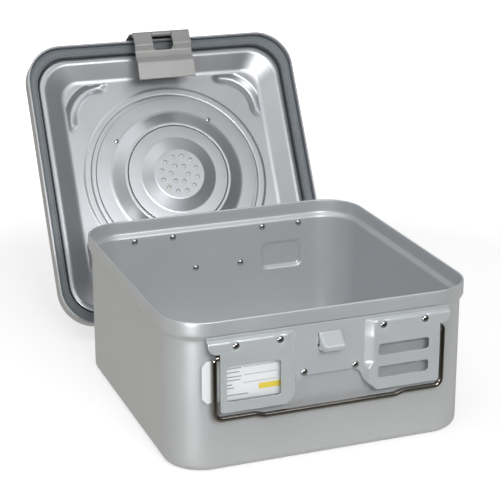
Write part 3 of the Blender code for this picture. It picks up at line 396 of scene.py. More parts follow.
def add_node(tree: bpy.types.NodeTree, kind: str, inputs: dict[Any, Any] | None = None,
             **settings: Any) -> bpy.types.Node:
    """Add a node with its settings and links.

    Args:
        tree: The node tree.
        kind: The node's type name.
        inputs: Socket name or number to a value, or to a socket that is linked.
        **settings: Properties of the node.

    Returns:
        The new node.
    """
    node = tree.nodes.new(kind)
    for key, value in settings.items():
        setattr(node, key, value)
    for key, value in (inputs or {}).items():
        if isinstance(value, bpy.types.NodeSocket):
            tree.links.new(value, node.inputs[key])
        else:
            node.inputs[key].default_value = value
    return node


def new_material(name: str) -> tuple[bpy.types.Material, bpy.types.NodeTree, bpy.types.Node]:
    """An empty material with its tree and its shader."""
    material = bpy.data.materials.new(name)
    material.use_nodes = True
    tree = material.node_tree
    return material, tree, tree.nodes["Principled BSDF"]


@dataclass(frozen=True)
class MetalFinish:
    """A worked metal surface: its colour, gloss and the grain that the work leaves."""

    name: str
    colour: str
    worn_colour: str
    roughness: float
    roughness_spread: float
    grain_size: float
    grain_depth: float
    patch_size: float
    grain: Grain = Grain.ETCHED
    metallic: float = 1.0

    def material(self) -> bpy.types.Material:
        """The finish as a node material on object coordinates."""
        material, tree, shader = new_material(self.name)
        place = add_node(tree, "ShaderNodeTexCoord").outputs["Object"]
        stretched = add_node(tree, "ShaderNodeMapping", {"Vector": place,
                                                         "Scale": self.grain.value}).outputs[0]
        fine = add_node(tree, "ShaderNodeTexNoise", {"Vector": stretched, "Scale": 1 / self.grain_size,
                                                     "Detail": 2.0, "Roughness": 0.6}).outputs[0]
        broad = add_node(tree, "ShaderNodeTexNoise", {"Vector": place, "Scale": 1 / self.patch_size,
                                                      "Detail": 3.0}).outputs[0]
        gloss = add_node(tree, "ShaderNodeMapRange", {
            "Value": broad, "From Min": 0.3, "From Max": 0.7,
            "To Min": self.roughness - self.roughness_spread,
            "To Max": self.roughness + self.roughness_spread}).outputs[0]
        colour = add_node(tree, "ShaderNodeMix", {0: broad, 6: linear(self.colour),
                                                  7: linear(self.worn_colour)},
                          data_type="RGBA").outputs[2]
        bump = add_node(tree, "ShaderNodeBump", {"Height": fine, "Strength": 0.35,
                                                 "Distance": self.grain_depth}).outputs[0]
        tree.links.new(colour, shader.inputs["Base Color"])
        tree.links.new(gloss, shader.inputs["Roughness"])
        tree.links.new(bump, shader.inputs["Normal"])
        shader.inputs["Metallic"].default_value = self.metallic
        return material


@dataclass(frozen=True)
class RubberFinish:
    """Moulded silicone rubber: matt, with a faint skin."""

    name: str
    colour: str
    dusty_colour: str
    roughness: float

    def material(self) -> bpy.types.Material:
        """The rubber as a node material."""
        material, tree, shader = new_material(self.name)
        place = add_node(tree, "ShaderNodeTexCoord").outputs["Object"]
        broad = add_node(tree, "ShaderNodeTexNoise", {"Vector": place, "Scale": 90.0,
                                                      "Detail": 4.0}).outputs[0]
        fine = add_node(tree, "ShaderNodeTexNoise", {"Vector": place, "Scale": 1800.0}).outputs[0]
        colour = add_node(tree, "ShaderNodeMix", {0: broad, 6: linear(self.colour),
                                                  7: linear(self.dusty_colour)},
                          data_type="RGBA").outputs[2]
        bump = add_node(tree, "ShaderNodeBump", {"Height": fine, "Strength": 0.3,
                                                 "Distance": 0.0001}).outputs[0]
        tree.links.new(colour, shader.inputs["Base Color"])
        tree.links.new(bump, shader.inputs["Normal"])
        shader.inputs["Roughness"].default_value = self.roughness
        return material


@dataclass(frozen=True)
class PaperFinish:
    """Filter paper: soft white with a felted fibre grain."""

    name: str
    colour: str

    def material(self) -> bpy.types.Material:
        """The paper as a node material."""
        material, tree, shader = new_material(self.name)
        place = add_node(tree, "ShaderNodeTexCoord").outputs["Object"]
        fibre = add_node(tree, "ShaderNodeTexNoise", {"Vector": place, "Scale": 900.0,
                                                      "Detail": 6.0}).outputs[0]
        bump = add_node(tree, "ShaderNodeBump", {"Height": fibre, "Strength": 0.5,
                                                 "Distance": 0.0002}).outputs[0]
        tree.links.new(bump, shader.inputs["Normal"])
        shader.inputs["Base Color"].default_value = linear(self.colour)
        shader.inputs["Roughness"].default_value = 0.9
        return material


@dataclass(frozen=True)
class CardFinish:
    """Coated label card with plain ruled lines and one plain block of colour.

    Marks are boxes in the card's plane: low and high distance along the wall, then low
    and high height.
    """

    name: str
    colour: str
    ink: str
    block: str
    ink_marks: tuple[tuple[float, float, float, float], ...]
    block_mark: tuple[float, float, float, float]

    def _mask(self, tree: bpy.types.NodeTree, axes: Any, box: tuple[float, float, float, float],
              soft: float) -> bpy.types.NodeSocket:
        """One inside a box and zero outside, from the product of four ramps."""
        mask = None
        for socket, (low, high) in ((axes.outputs[0], box[:2]), (axes.outputs[2], box[2:])):
            for edge, inward in ((low, soft), (high, -soft)):
                ramp = add_node(tree, "ShaderNodeMapRange", {
                    "Value": socket, "From Min": edge - inward / 2, "From Max": edge + inward / 2}).outputs[0]
                mask = ramp if mask is None else add_node(tree, "ShaderNodeMath", {0: mask, 1: ramp},
                                                          operation="MULTIPLY").outputs[0]
        return mask

    def material(self) -> bpy.types.Material:
        """The printed card as a node material."""
        material, tree, shader = new_material(self.name)
        place = add_node(tree, "ShaderNodeTexCoord").outputs["Object"]
        axes = add_node(tree, "ShaderNodeSeparateXYZ", {0: place})
        colour = None
        for box in self.ink_marks:
            mask = self._mask(tree, axes, box, 0.0003)
            base = linear(self.colour) if colour is None else colour
            colour = add_node(tree, "ShaderNodeMix", {0: mask, 6: base, 7: linear(self.ink)},
                              data_type="RGBA").outputs[2]
        mask = self._mask(tree, axes, self.block_mark, 0.0004)
        colour = add_node(tree, "ShaderNodeMix", {0: mask, 6: colour, 7: linear(self.block)},
                          data_type="RGBA").outputs[2]
        tree.links.new(colour, shader.inputs["Base Color"])
        shader.inputs["Roughness"].default_value = 0.5
        return material


# Anodised aluminium, deep drawn and etched: an even satin grey with soft, wide highlights.
# Its oxide skin scatters about half of the light, so it is set half metallic
TUB_ALUMINIUM = MetalFinish("satin anodised aluminium, drawn", "#C8CBCE", "#CED1D3", 0.42, 0.03,
                            0.0006, 0.00005, 0.060, metallic=0.5)
# The lid is anodised over a smoother sheet, so its folds show brighter lines
LID_ALUMINIUM = MetalFinish("bright anodised aluminium, drawn", "#B9BCC0", "#C1C3C6", 0.36, 0.03,
                            0.0006, 0.00004, 0.050, metallic=0.82)
# Pressed sheet whose blasted skin scatters most of the light, so its folds show as soft lines
PLATE_METAL = MetalFinish("blasted stainless sheet, pressed", "#C6CACD", "#CCD0D2", 0.32, 0.03,
                          0.0005, 0.00004, 0.030, metallic=0.35)
# Brushed stainless steel: neutral grey, darker than the lid, with fine upright scratches
LATCH_STEEL = MetalFinish("brushed stainless steel", "#9A9999", "#A4A3A2", 0.46, 0.04,
                          0.0005, 0.00006, 0.020, Grain.BRUSHED_UP, metallic=0.55)
# Bright drawn spring wire: near mirror, so that it shows the floor and the dark room
WIRE_STEEL = MetalFinish("polished stainless wire, drawn", "#86827E", "#8E8A86", 0.09, 0.02,
                         0.0008, 0.00001, 0.030, Grain.BRUSHED_ALONG)
# Set aluminium rivets: bright where the tool pressed them
RIVET_METAL = MetalFinish("aluminium rivet, set", "#B2B2B4", "#BABABB", 0.12, 0.02, 0.0004, 0.00001, 0.004)
SEAL_RUBBER = RubberFinish("grey silicone rubber, moulded", "#747A7F", "#81878B", 0.5)
FILTER_PAPER = PaperFinish("filter paper, felted", "#E6E5E0")
LABEL_CARD = CardFinish(
    "coated label card, printed", "#E9EBED", "#7E858A", "#E8D24A",
    ((-0.0780, -0.0478, 0.0933, 0.0937), (-0.0775, -0.0478, 0.0860, 0.0864),
     (-0.0780, -0.0478, 0.0790, 0.0794),
     (-0.0935, -0.0795, 0.0928, 0.0936), (-0.0935, -0.0810, 0.0893, 0.0901),
     (-0.0935, -0.0795, 0.0853, 0.0861),
     (-0.0935, -0.0805, 0.0823, 0.0831), (-0.0935, -0.0875, 0.0783, 0.0791),
     (-0.0935, -0.0860, 0.0753, 0.0761),
     (-0.0935, -0.0735, 0.0689, 0.0697)),
    (-0.0640, -0.0440, 0.0716, 0.0768))


@dataclass
class Workshop:
    """Makes the materials once and puts pieces in the scene."""

    made: dict[str, bpy.types.Material] = field(default_factory=dict)

    def material(self, finish: Any) -> bpy.types.Material:
        """The material of a finish, made at its first use."""
        if finish.name not in self.made:
            self.made[finish.name] = finish.material()
        return self.made[finish.name]

    def piece(self, name: str, surface: Surface, finish: Any, body: str,
              replaced: Sequence[str] = (), smooth: float = 32.0, bevel: float = 0.0) -> bpy.types.Object:
        """Put one surface in the scene as a piece.

        Args:
            name: The piece's name.
            surface: Its closed surface in the frame.
            finish: Its finish.
            body: The body that it rides on.
            replaced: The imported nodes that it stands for.
            smooth: Edges that turn less than this, in degrees, are shaded smooth.
            bevel: Width of the rounding of its sharp edges, or zero.

        Returns:
            The new object.
        """
        mesh = bpy.data.meshes.new(name)
        corners = np.concatenate((surface.quads.ravel(), surface.tris.ravel())).astype(np.int32)
        quad_corners = surface.quads.size
        starts = np.concatenate((np.arange(0, quad_corners, 4), np.arange(quad_corners, len(corners), 3)))
        mesh.vertices.add(len(surface.points))
        mesh.vertices.foreach_set("co", surface.points.astype(np.float32).ravel())
        mesh.loops.add(len(corners))
        mesh.loops.foreach_set("vertex_index", corners)
        mesh.polygons.add(len(starts))
        mesh.polygons.foreach_set("loop_start", starts.astype(np.int32))
        mesh.update(calc_edges=True)
        mesh.validate()
        mesh.shade_smooth()
        mesh.set_sharp_from_angle(angle=radians(smooth))
        mesh.materials.append(self.material(finish))
        item = bpy.data.objects.new(name, mesh)
        bpy.context.collection.objects.link(item)
        if bevel:
            rounding = item.modifiers.new("rounded edges", "BEVEL")
            rounding.width = bevel
            rounding.segments = 2
            rounding.limit_method = "ANGLE"
            rounding.angle_limit = radians(50.0)
            rounding.use_clamp_overlap = False
        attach(item, body)
        if replaced:
            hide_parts(*replaced)
        LOG.info("%s: %d faces on %s", name, len(starts), body)
        return item

    def cut(self, item: bpy.types.Object, cutter: Surface) -> None:
        """Cut a closed surface out of a piece and keep the result as its mesh.

        Args:
            item: The piece.
            cutter: The closed surface that is taken away.
        """
        mesh = bpy.data.meshes.new("cutter")
        mesh.from_pydata(cutter.points.tolist(), [], cutter.quads.tolist() + cutter.tris.tolist())
        tool = bpy.data.objects.new("cutter", mesh)
        bpy.context.collection.objects.link(tool)
        modifier = item.modifiers.new("cut", "BOOLEAN")
        modifier.operation = "DIFFERENCE"
        modifier.object = tool
        modifier.solver = "EXACT"
        graph = bpy.context.evaluated_depsgraph_get()
        result = bpy.data.meshes.new_from_object(item.evaluated_get(graph))
        item.modifiers.remove(modifier)
        item.data = result
        bpy.data.objects.remove(tool)
        result.shade_smooth()
        result.set_sharp_from_angle(angle=radians(32.0))

    def dress(self, node: str, finish: Any) -> None:
        """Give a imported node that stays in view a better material."""
        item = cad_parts[node]
        for holder in item.material_slots:
            holder.link = "OBJECT"
            holder.material = self.material(finish)


# Sub-assemblies


@dataclass
class Tub:
    """Deep-drawn tub with a joggled rim and a pad pressed out behind each label."""

    rim_width: float = 0.280
    rim_depth: float = 0.285
    height: float = 0.1363
    corner: float = 0.038
    wall: float = 0.0020
    joggle: float = 0.0030
    joggle_low: float = 0.1185
    joggle_high: float = 0.1245
    foot: float = 0.0070
    lip: float = 0.0009
    pad: RoundedBox = RoundedBox((-0.0680, 0.0839), (0.02215, 0.0144), 0.0060)
    pad_rise: float = 0.0029
    pad_flank: float = 0.0035

    def profile(self) -> Array:
        """Insets and heights up the outside, over the lip and down the inside.

        The joggle follows the smooth rise of soft_step, and foot and lip are arcs.
        """
        share = np.linspace(0.0, 1.0, 13)
        run = soft_step(share)
        rise = self.joggle_low + share * (self.joggle_high - self.joggle_low)
        walls = lines_between((self.foot, 0.030, 0.060), 0.010)[:-1]
        fine = lines_between((0.060, 0.108), 0.0012)[:-1]
        high = lines_between((0.108, self.joggle_low), 0.004)[:-1]
        levels = np.concatenate((walls, fine, high))
        foot = arc((self.joggle + self.foot, self.foot), self.foot, 270, 180, 8)[:-1]
        outer = np.stack((np.full(len(levels), self.joggle), levels), axis=-1)
        step = np.stack((self.joggle * (1 - run), rise), axis=-1)
        band = np.array([[0.0, 0.1275], [0.0, 0.1320]])
        lip_out = arc((self.lip, self.height - self.lip), self.lip, 180, 90, 5)
        lip_in = arc((self.wall - self.lip, self.height - self.lip), self.lip, 90, 0, 5)
        inner_foot = self.foot - self.wall
        floor = arc((self.joggle + self.wall + inner_foot, self.foot), inner_foot, 180, 270, 8)[1:]
        inside = np.array([self.wall, 0.0])
        return np.vstack((foot, outer, step, band, lip_out, lip_in, band[::-1] + inside, step[::-1] + inside,
                          outer[::-1] + inside, floor))

    def surface(self) -> Surface:
        """The tub's closed skin.

        Rings are rounded rectangles drawn in by each inset, and the floor's rings shrink
        to the middle. Points of an end wall move out by pad_rise times a smooth share of
        their depth inside the pad's outline.

        Returns:
            The closed surface.
        """
        along_x = lines_between((0.02, 0.10, 0.42, 0.58, 0.90, 0.98), 0.0065)
        plan = RingPlan(along_x, np.linspace(0.05, 0.95, 16), 18)
        profile = self.profile()
        shares = np.array([0.08, 0.3, 0.6, 0.85])
        inset = profile[:, 0]
        rings = with_heights(plan.rings(self.rim_width / 2 - inset, self.rim_depth / 2 - inset,
                                        self.corner - inset), profile[:, 1])
        bottom = rings[:1] * np.stack((shares, shares, np.ones(4)), -1)[:, None, :]
        floor = rings[-1:] * np.stack((shares[::-1], shares[::-1], np.ones(4)), -1)[:, None, :]
        rings = np.concatenate((bottom, rings, floor))
        side = np.sign(rings[..., 1])
        depth = -self.pad.distance(-side * rings[..., 0], rings[..., 2])
        on_wall = np.abs(rings[..., 1]) > self.rim_depth / 2 - self.joggle - self.wall - 0.001
        rings[..., 1] += side * np.where(on_wall, self.pad_rise * soft_step(depth / self.pad_flank), 0.0)
        return loft(rings, poles=True)

    def build(self, shop: Workshop) -> None:
        """Put the tub in the scene."""
        shop.piece("tub_shell", self.surface(), TUB_ALUMINIUM, "container", ("tub",))


def side_matrix(side: Side) -> Matrix:
    """The rear side is the front one turned half round."""
    return Matrix.Identity(4) if side is Side.FRONT else Matrix.Rotation(pi, 4, "Z")


@dataclass
class FittingPlate:
    """Pressed plate with two raised boxes, a label window, two slots, a notch and a keeper."""

    sheet_metal: float = 0.0010
    back: float = 0.1428
    box_back: float = 0.1484
    half_width: float = 0.1100
    box_half: float = 0.1000
    top: float = 0.1233
    bottom: float = 0.0570
    ear_bottom: float = 0.1095
    fold: float = 0.1197
    fold_run: float = 0.0012
    crease: float = 0.1060
    lean: float = 0.0012
    foot: float = 0.0318
    corner_cut: float = 0.0095
    face_edges: tuple[tuple[float, float], ...] = ((0.0570, 0.0345), (0.0770, 0.0345), (0.0830, 0.0390),
                                                   (0.1050, 0.0390), (0.1233, 0.0405))
    rivets: tuple[tuple[float, float], ...] = ((0.0860, 0.1153), (0.0470, 0.1153), (0.0235, 0.0806))
    dimple: float = 0.0052
    dimple_depth: float = 0.0005
    window: RoundedBox = RoundedBox((-0.0704, 0.0822), (0.0240, 0.0160), 0.0035)
    slots: tuple[RoundedBox, ...] = (RoundedBox((0.0661, 0.0728), (0.02375, 0.00525), 0.0030),
                                     RoundedBox((0.0661, 0.0933), (0.02375, 0.00525), 0.0030))
    notch: RoundedBox = RoundedBox((0.0, 0.0510), (0.0305, 0.0265), 0.0110)
    opening: RoundedBox = RoundedBox((0.0, 0.1080), (0.0107, 0.0063), 0.0008)
    cheek: float = 0.0020
    reliefs: tuple[tuple[float, float, float], ...] = ((-0.0100, 0.1132, 0.0016), (0.0088, 0.1132, 0.0013),
                                                       (-0.0104, 0.1036, 0.0013))

    def outline(self, x: Array, z: Array) -> Array:
        """Signed distance to the plate's edge, negative in the metal.

        The plate is the union of its eared band and its body, less the round-cornered
        notch between the boxes, the boxes' cut inner corners, the window, the slots and the
        opening round the keeper with its relief holes.
        """
        across = np.abs(x)
        ears = RoundedBox((0.0, self.top), (self.half_width, self.top - self.ear_bottom), 0.0075)
        band = np.maximum(ears.distance(x, z), z - self.top)
        body = RoundedBox((0.0, self.top), (self.box_half, self.top - self.bottom), 0.0024)
        metal = np.minimum(band, np.maximum(body.distance(x, z), z - self.top))
        corner = (self.foot + self.corner_cut - across - (z - self.bottom)) / np.sqrt(2.0)
        metal = np.maximum(metal, -self.notch.distance(x, z))
        metal = np.maximum(metal, np.minimum(corner, across - self.foot + 0.0020))
        for hole in (self.window, *self.slots, self.opening):
            metal = np.maximum(metal, -hole.distance(x, z))
        for hole_x, hole_z, radius in self.reliefs:
            metal = np.maximum(metal, radius - np.hypot(x - hole_x, z - hole_z))
        return metal

    def out(self, x: Array, z: Array) -> Array:
        """How far out the plate's back lies.

        It rises from the wall to the boxes as the lesser of the flank's and the fold's
        shares, and its dimples sink by a smooth share of the distance from each rivet.
        The flank runs from the foot to the face's inner edge, which jogs along the height.
        """
        across = np.abs(x)
        edge = np.interp(z, *zip(*self.face_edges))
        flank = (across - self.foot) / (edge - self.foot)
        fold = (self.fold - z) / self.fold_run
        share = np.clip(soft_least(soft_least(flank, fold, 0.16), np.ones_like(x), 0.12), 0.0, 1.0)
        above = np.clip((z - self.crease) / (self.fold - self.crease), 0.0, 1.0)
        level = self.back + share * (self.box_back - self.back - self.lean * above)
        for rivet_x, rivet_z in self.rivets:
            reach = np.hypot(across - rivet_x, z - rivet_z)
            level = level - self.dimple_depth * (
                1 - soft_step((reach - 0.6 * self.dimple) / (0.4 * self.dimple)))
        return level

    def surface(self) -> Surface:
        """The pressed plate as a formed sheet."""
        x_stops = [0.0, 0.0108, 0.0195, 0.0305, self.foot, 0.0345, 0.0390, self.box_half, self.half_width]
        x_stops += [self.window.centre[0] + side * self.window.half[0] for side in (-1, 1)]
        x_stops += [self.slots[0].centre[0] + side * self.slots[0].half[0] for side in (-1, 1)]
        x_stops = [value for stop in x_stops for value in (-stop, stop)]
        z_stops = [self.bottom, 0.0665, 0.0775, self.crease, self.ear_bottom, self.fold - self.fold_run,
                   self.fold, self.top, 0.1027, 0.1143]
        z_stops += [self.fold - share * self.fold_run for share in (-0.25, 0.15, 0.35, 0.65, 0.85, 1.25)]
        for hole in (self.window, *self.slots):
            z_stops += [hole.centre[1] - hole.half[1], hole.centre[1] + hole.half[1]]
        return sheet(lines_between(x_stops, 0.0011), lines_between(z_stops, 0.0010), self.outline,
                     lambda x, z: np.stack((x, -self.out(x, z), z), axis=-1), self.sheet_metal)

    def keeper(self) -> Surface:
        """Keeper hood: a strip that leaves the plate, leans out and ends in a rolled nose.

        Its reach falls off at both sides as a quarter ellipse, which closes the hood.
        """
        face = self.back + self.sheet_metal / 2
        half = self.opening.half[0] - 0.0003
        nose = 0.0034
        tip = self.back + 0.0125
        lead = filleted([(face, 0.1158), (face, 0.1140), (tip - 0.0012, 0.1060)], (0.0, 0.0020, 0.0), 6)
        curl = arc((tip - nose, 0.1035), nose, 50, -175, 22)
        route = Route(np.vstack((lead, curl)))
        end = route.marks[-1]
        cut = RoundedBox((0.0, end / 2), (half, end / 2), 0.0008)

        def place(x: Array, along: Array) -> Array:
            """Back of the strip at a distance across and along it."""
            out, height = route.at(along)
            beyond = np.clip((np.abs(x) - half + self.cheek) / self.cheek, 0.0, 0.99)
            reach = face + (out - face) * np.sqrt(1 - beyond ** 2)
            return np.stack((x, -reach, height), axis=-1)

        stops = [side * (half - self.cheek * share) for side in (-1, 1)
                 for share in (0.0, 0.03, 0.1, 0.2, 0.4, 0.7, 1.0)]
        return sheet(lines_between(stops, 0.0010), lines_between((0.0, end), 0.0005), cut.distance, place,
                     0.0005)

    def build(self, shop: Workshop, side: Side) -> None:
        """Put the plate of one side in the scene."""
        turn = side_matrix(side)
        shop.piece(f"{side.value}_pressed_plate", self.surface().moved(turn), PLATE_METAL, "container",
                   (f"{side.value}_fitting_plate",), bevel=0.00022)
        shop.piece(f"{side.value}_keeper", self.keeper().moved(turn), PLATE_METAL, "container",
                   bevel=0.00015)
        for hand in ("left", "right"):
            shop.dress(f"{side.value}_handle_loop_{hand}", PLATE_METAL)


@dataclass
class Rivet:
    """Set rivet: domed heads on both ends of one shank."""

    shank: float = 0.0020
    head: float = 0.0033
    height: float = 0.0019

    def surface(self, low: float, high: float) -> Surface:
        """The rivet along Z between the planes that its heads bear on.

        A head is a flat dome: radius r cos a and height h sin a.
        """
        dome = np.radians(np.linspace(82.0, 0.0, 8))
        top = np.stack((self.head * np.cos(dome), high + self.height * np.sin(dome)), axis=-1)
        neck = np.array([[self.shank, high], [self.shank, low]])
        lower = np.stack((self.head * np.cos(dome[::-1]), low - self.height * np.sin(dome[::-1])), axis=-1)
        return turned(np.vstack((top, neck, lower)), 24)


@dataclass
class PlateRivets:
    """The rivets that hold one fitting plate."""

    plate: FittingPlate
    wall_inside: float = 0.1375

    def build(self, shop: Workshop, side: Side) -> None:
        """Put the six rivets of one side in the scene."""
        number = 0
        for hand in (-1, 1):
            for x, z in self.plate.rivets:
                number += 1
                level = float(self.plate.out(np.array([x]), np.array([z]))[0]) + self.plate.sheet_metal
                lie = Matrix.Translation((hand * x, 0.0, z)) @ Matrix.Rotation(pi / 2, 4, "X")
                rivet = Rivet().surface(self.wall_inside, level)
                shop.piece(f"{side.value}_set_rivet_{number}", rivet.moved(side_matrix(side) @ lie),
                           RIVET_METAL, "container", (f"{side.value}_rivet_{number}",))


@dataclass
class Bail:
    """Bail handle bent from round wire, its ends hooked behind the boxes."""

    radius: float = 0.0025
    half_width: float = 0.1040
    pivot: tuple[float, float] = (0.1456, 0.1055)
    drop: float = 0.0551
    hook: float = 0.0200
    hook_bend: float = 0.0034
    bend: float = 0.0065
    kink_x: float = 0.0600
    kink_run: float = 0.0080
    kink_drop: float = 0.0022

    def surface(self) -> Surface:
        """The bent wire as a tube along its rounded centre line."""
        half = self.half_width
        left = [(-half + self.hook, 0.0), (-half, 0.0), (-half, -self.drop),
                (-self.kink_x - self.kink_run, -self.drop), (-self.kink_x, -self.drop - self.kink_drop)]
        radii = [0.0, self.hook_bend, self.bend, 0.0060, 0.0060]
        corners = left + [(-x, z) for x, z in reversed(left)]
        line = filleted(corners, radii + radii[::-1], 10)
        out, level = self.pivot
        path = np.stack((line[:, 0], np.full(len(line), -out), line[:, 1] + level), axis=-1)
        return tube(path, self.radius, 24)

    def build(self, shop: Workshop, side: Side) -> None:
        """Put the handle of one side in the scene."""
        shop.piece(f"{side.value}_bail", self.surface().moved(side_matrix(side)), WIRE_STEEL,
                   f"{side.value}_handle", (f"{side.value}_handle",), smooth=60.0)


@dataclass
class LabelCard:
    """Label card in its pocket, with two corners cut off."""

    outer: float = -0.1140
    length: float = 0.0700
    bottom: float = 0.0650
    height: float = 0.0375
    chamfer: float = 0.0040
    back: float = 0.1423
    thickness: float = 0.0005

    def outline(self, x: Array, z: Array) -> Array:
        """Signed distance to the card's edge: a box less its two outer corners."""
        centre = (self.outer + self.length / 2, self.bottom + self.height / 2)
        box = RoundedBox(centre, (self.length / 2, self.height / 2), 0.0006).distance(x, z)
        cut = (np.abs(z - centre[1]) - (self.height / 2 - self.chamfer) - (x - self.outer)) / np.sqrt(2.0)
        return np.maximum(box, cut)

    def build(self, shop: Workshop, side: Side) -> None:
        """Put the card of one side in the scene."""
        x_lines = lines_between((self.outer, self.outer + self.chamfer, self.outer + self.length), 0.0010)
        z_lines = lines_between((self.bottom, self.bottom + self.chamfer,
                                 self.bottom + self.height - self.chamfer, self.bottom + self.height), 0.0010)
        card = sheet(x_lines, z_lines, self.outline,
                     lambda x, z: np.stack((x, np.full_like(x, -self.back), z), axis=-1), self.thickness)
        shop.piece(f"{side.value}_card", card.moved(side_matrix(side)), LABEL_CARD, f"{side.value}_card",
                   (f"{side.value}_label_card",))


@dataclass
class LidPose:
    """Where the lid stands: its own frame has its free edge at height zero, inside down."""

    centre: tuple[float, float, float] = (0.0, 0.2545, 0.144908711)
    tilt: float = 30.3
    yaw: float = -1.25

    def matrix(self, side: Side = Side.FRONT) -> Matrix:
        """The lid's frame, turned half round for its rear edge."""
        base = (Matrix.Translation(self.centre) @ Matrix.Rotation(radians(self.yaw), 4, "Z")
                @ Matrix.Rotation(-radians(90.0 + self.tilt), 4, "X"))
        return base @ side_matrix(side)


@dataclass
class LidShell:
    """Drawn lid: skirt, edge ridge over the seal, groove, slope, panel, beads and vents."""

    pose: LidPose
    width: float = 0.292
    depth: float = 0.297
    corner: float = 0.0385
    sheet_metal: float = 0.0016
    panel_inset: float = 0.0360
    panel_corner: float = 0.0200
    step_radius: float = 0.1000
    step_run: float = 0.0026
    step_rise: float = 0.0012
    line_radius: float = 0.0912
    line_depth: float = 0.0005
    bead_centre: float = 0.0665
    bead_radius: float = 0.0360
    bead_half: float = 0.0075
    bead_depth: float = 0.0040

    def section(self) -> Array:
        """Middle of the sheet from the free edge to the panel, as inset and height."""
        corners = [(0.0008, 0.0), (0.0008, 0.0177), (0.0125, 0.0177), (0.0133, 0.0112), (0.0172, 0.0100),
                   (0.0362, 0.0192), (0.0400, 0.0192)]
        return filleted(corners, (0.0, 0.0022, 0.0022, 0.0014, 0.0062, 0.0130, 0.0), 9)

    def features(self, x: Array, y: Array) -> Array:
        """How far the panel is pressed in, away from the filter's side.

        A round step lifts the middle, a fine line runs round it, and each corner has a
        bead along a quarter circle with the section (1 - (d / half)^2)^2.
        """
        radius = np.hypot(x, y)
        lift = -self.step_rise * (1 - soft_step((radius - self.step_radius + self.step_run) / self.step_run))
        line = self.line_depth * np.exp(-((radius - self.line_radius) / 0.0006) ** 2)
        across_x = np.abs(x) - self.bead_centre
        across_y = np.abs(y) - self.bead_centre - 0.0030
        turn = np.arctan2(across_y, across_x)
        held = np.clip(turn, radians(-2.0), radians(90.0))
        reach = np.hypot(across_x - self.bead_radius * np.cos(held),
                         across_y - self.bead_radius * np.sin(held))
        bead = self.bead_depth * np.clip(1 - (reach / self.bead_half) ** 2, 0.0, 1.0) ** 2
        return lift + line + bead

    def surface(self) -> Surface:
        """The lid's closed skin in its own frame.

        The sheet's middle line gives both skins, half a thickness off along its normal.
        From the panel's foot the rings ease from rounded rectangle to circle, as
        (1 - w) of the one and w of the other, and shrink to the centre.

        Returns:
            The closed surface.
        """
        line = self.section()[:-1]
        tangent = np.gradient(line, axis=0)
        tangent /= np.linalg.norm(tangent, axis=1, keepdims=True)
        normal = np.stack((-tangent[:, 1], tangent[:, 0]), axis=-1)
        plan = RingPlan(np.linspace(0.0, 1.0, 66)[1:-1], np.linspace(0.0, 1.0, 66)[1:-1], 22)
        skins = []
        for side in (-1.0, 1.0):
            skin = line + side * normal * self.sheet_metal / 2
            inset, height = skin[:, 0], skin[:, 1]
            share = np.clip(inset / self.panel_inset, 0.0, 1.0)
            radius = self.corner + share * (self.panel_corner - self.corner)
            flat = plan.rings(self.width / 2 - inset, self.depth / 2 - inset, radius)
            wall = with_heights(flat, height)
            foot = wall[-1:, :, :2]
            reach = np.linalg.norm(foot, axis=2, keepdims=True)
            ease = np.linspace(0.0, 1.0, 34)[1:, None, None]
            easing = foot / reach * ((1 - ease) * reach + ease * 0.1040)
            circles = np.concatenate((np.linspace(0.1032, 0.0930, 18), np.linspace(0.0924, 0.0900, 9),
                                      np.linspace(0.0870, 0.0040, 12)))
            rounds = foot / reach * circles[:, None, None]
            panel = np.concatenate((easing, rounds))
            level = height[-1] + self.features(panel[..., 0], panel[..., 1])
            skins.append(np.concatenate((wall, np.concatenate((panel, level[..., None]), axis=2))))
        inner, outer = skins
        return loft(np.concatenate((inner[::-1], outer)), poles=True)

    def vents(self) -> Surface:
        """Round bars where the vents go through the panel."""
        return bars_round(np.array([[0.003, 0.012], [0.003, 0.026]]), ((0.0100, 6, 0.0), (0.0200, 12, 0.0)))

    def build(self, shop: Workshop) -> None:
        """Put the lid's shell in the scene."""
        place = self.pose.matrix()
        shell = shop.piece("lid_pan", self.surface().moved(place), LID_ALUMINIUM, "lid",
                           ("lid_shell",), smooth=40.0)
        shop.cut(shell, self.vents().moved(place))


@dataclass
class Gasket:
    """Moulded seal in the lid's channel."""

    pose: LidPose
    lid: LidShell

    def build(self, shop: Workshop) -> None:
        """Put the seal in the scene."""
        corners = [(0.0020, 0.0060), (0.0034, 0.0056), (0.0044, 0.0068), (0.0086, 0.0068), (0.0096, 0.0056),
                   (0.0106, 0.0062), (0.0108, 0.0145), (0.0095, 0.0163), (0.0032, 0.0163), (0.0020, 0.0150)]
        profile = filleted(corners, (0.0004,) * len(corners), 3, closed=True)
        plan = RingPlan(np.linspace(0.0, 1.0, 20)[1:-1], np.linspace(0.0, 1.0, 20)[1:-1], 20)
        inset = profile[:, 0]
        radius = self.lid.corner + inset / self.lid.panel_inset * (self.lid.panel_corner - self.lid.corner)
        rings = with_heights(plan.rings(self.lid.width / 2 - inset, self.lid.depth / 2 - inset, radius),
                             profile[:, 1])
        surface = loft(rings, closed_profile=True).moved(self.pose.matrix())
        shop.piece("lid_seal", surface, SEAL_RUBBER, "lid", ("lid_gasket",))


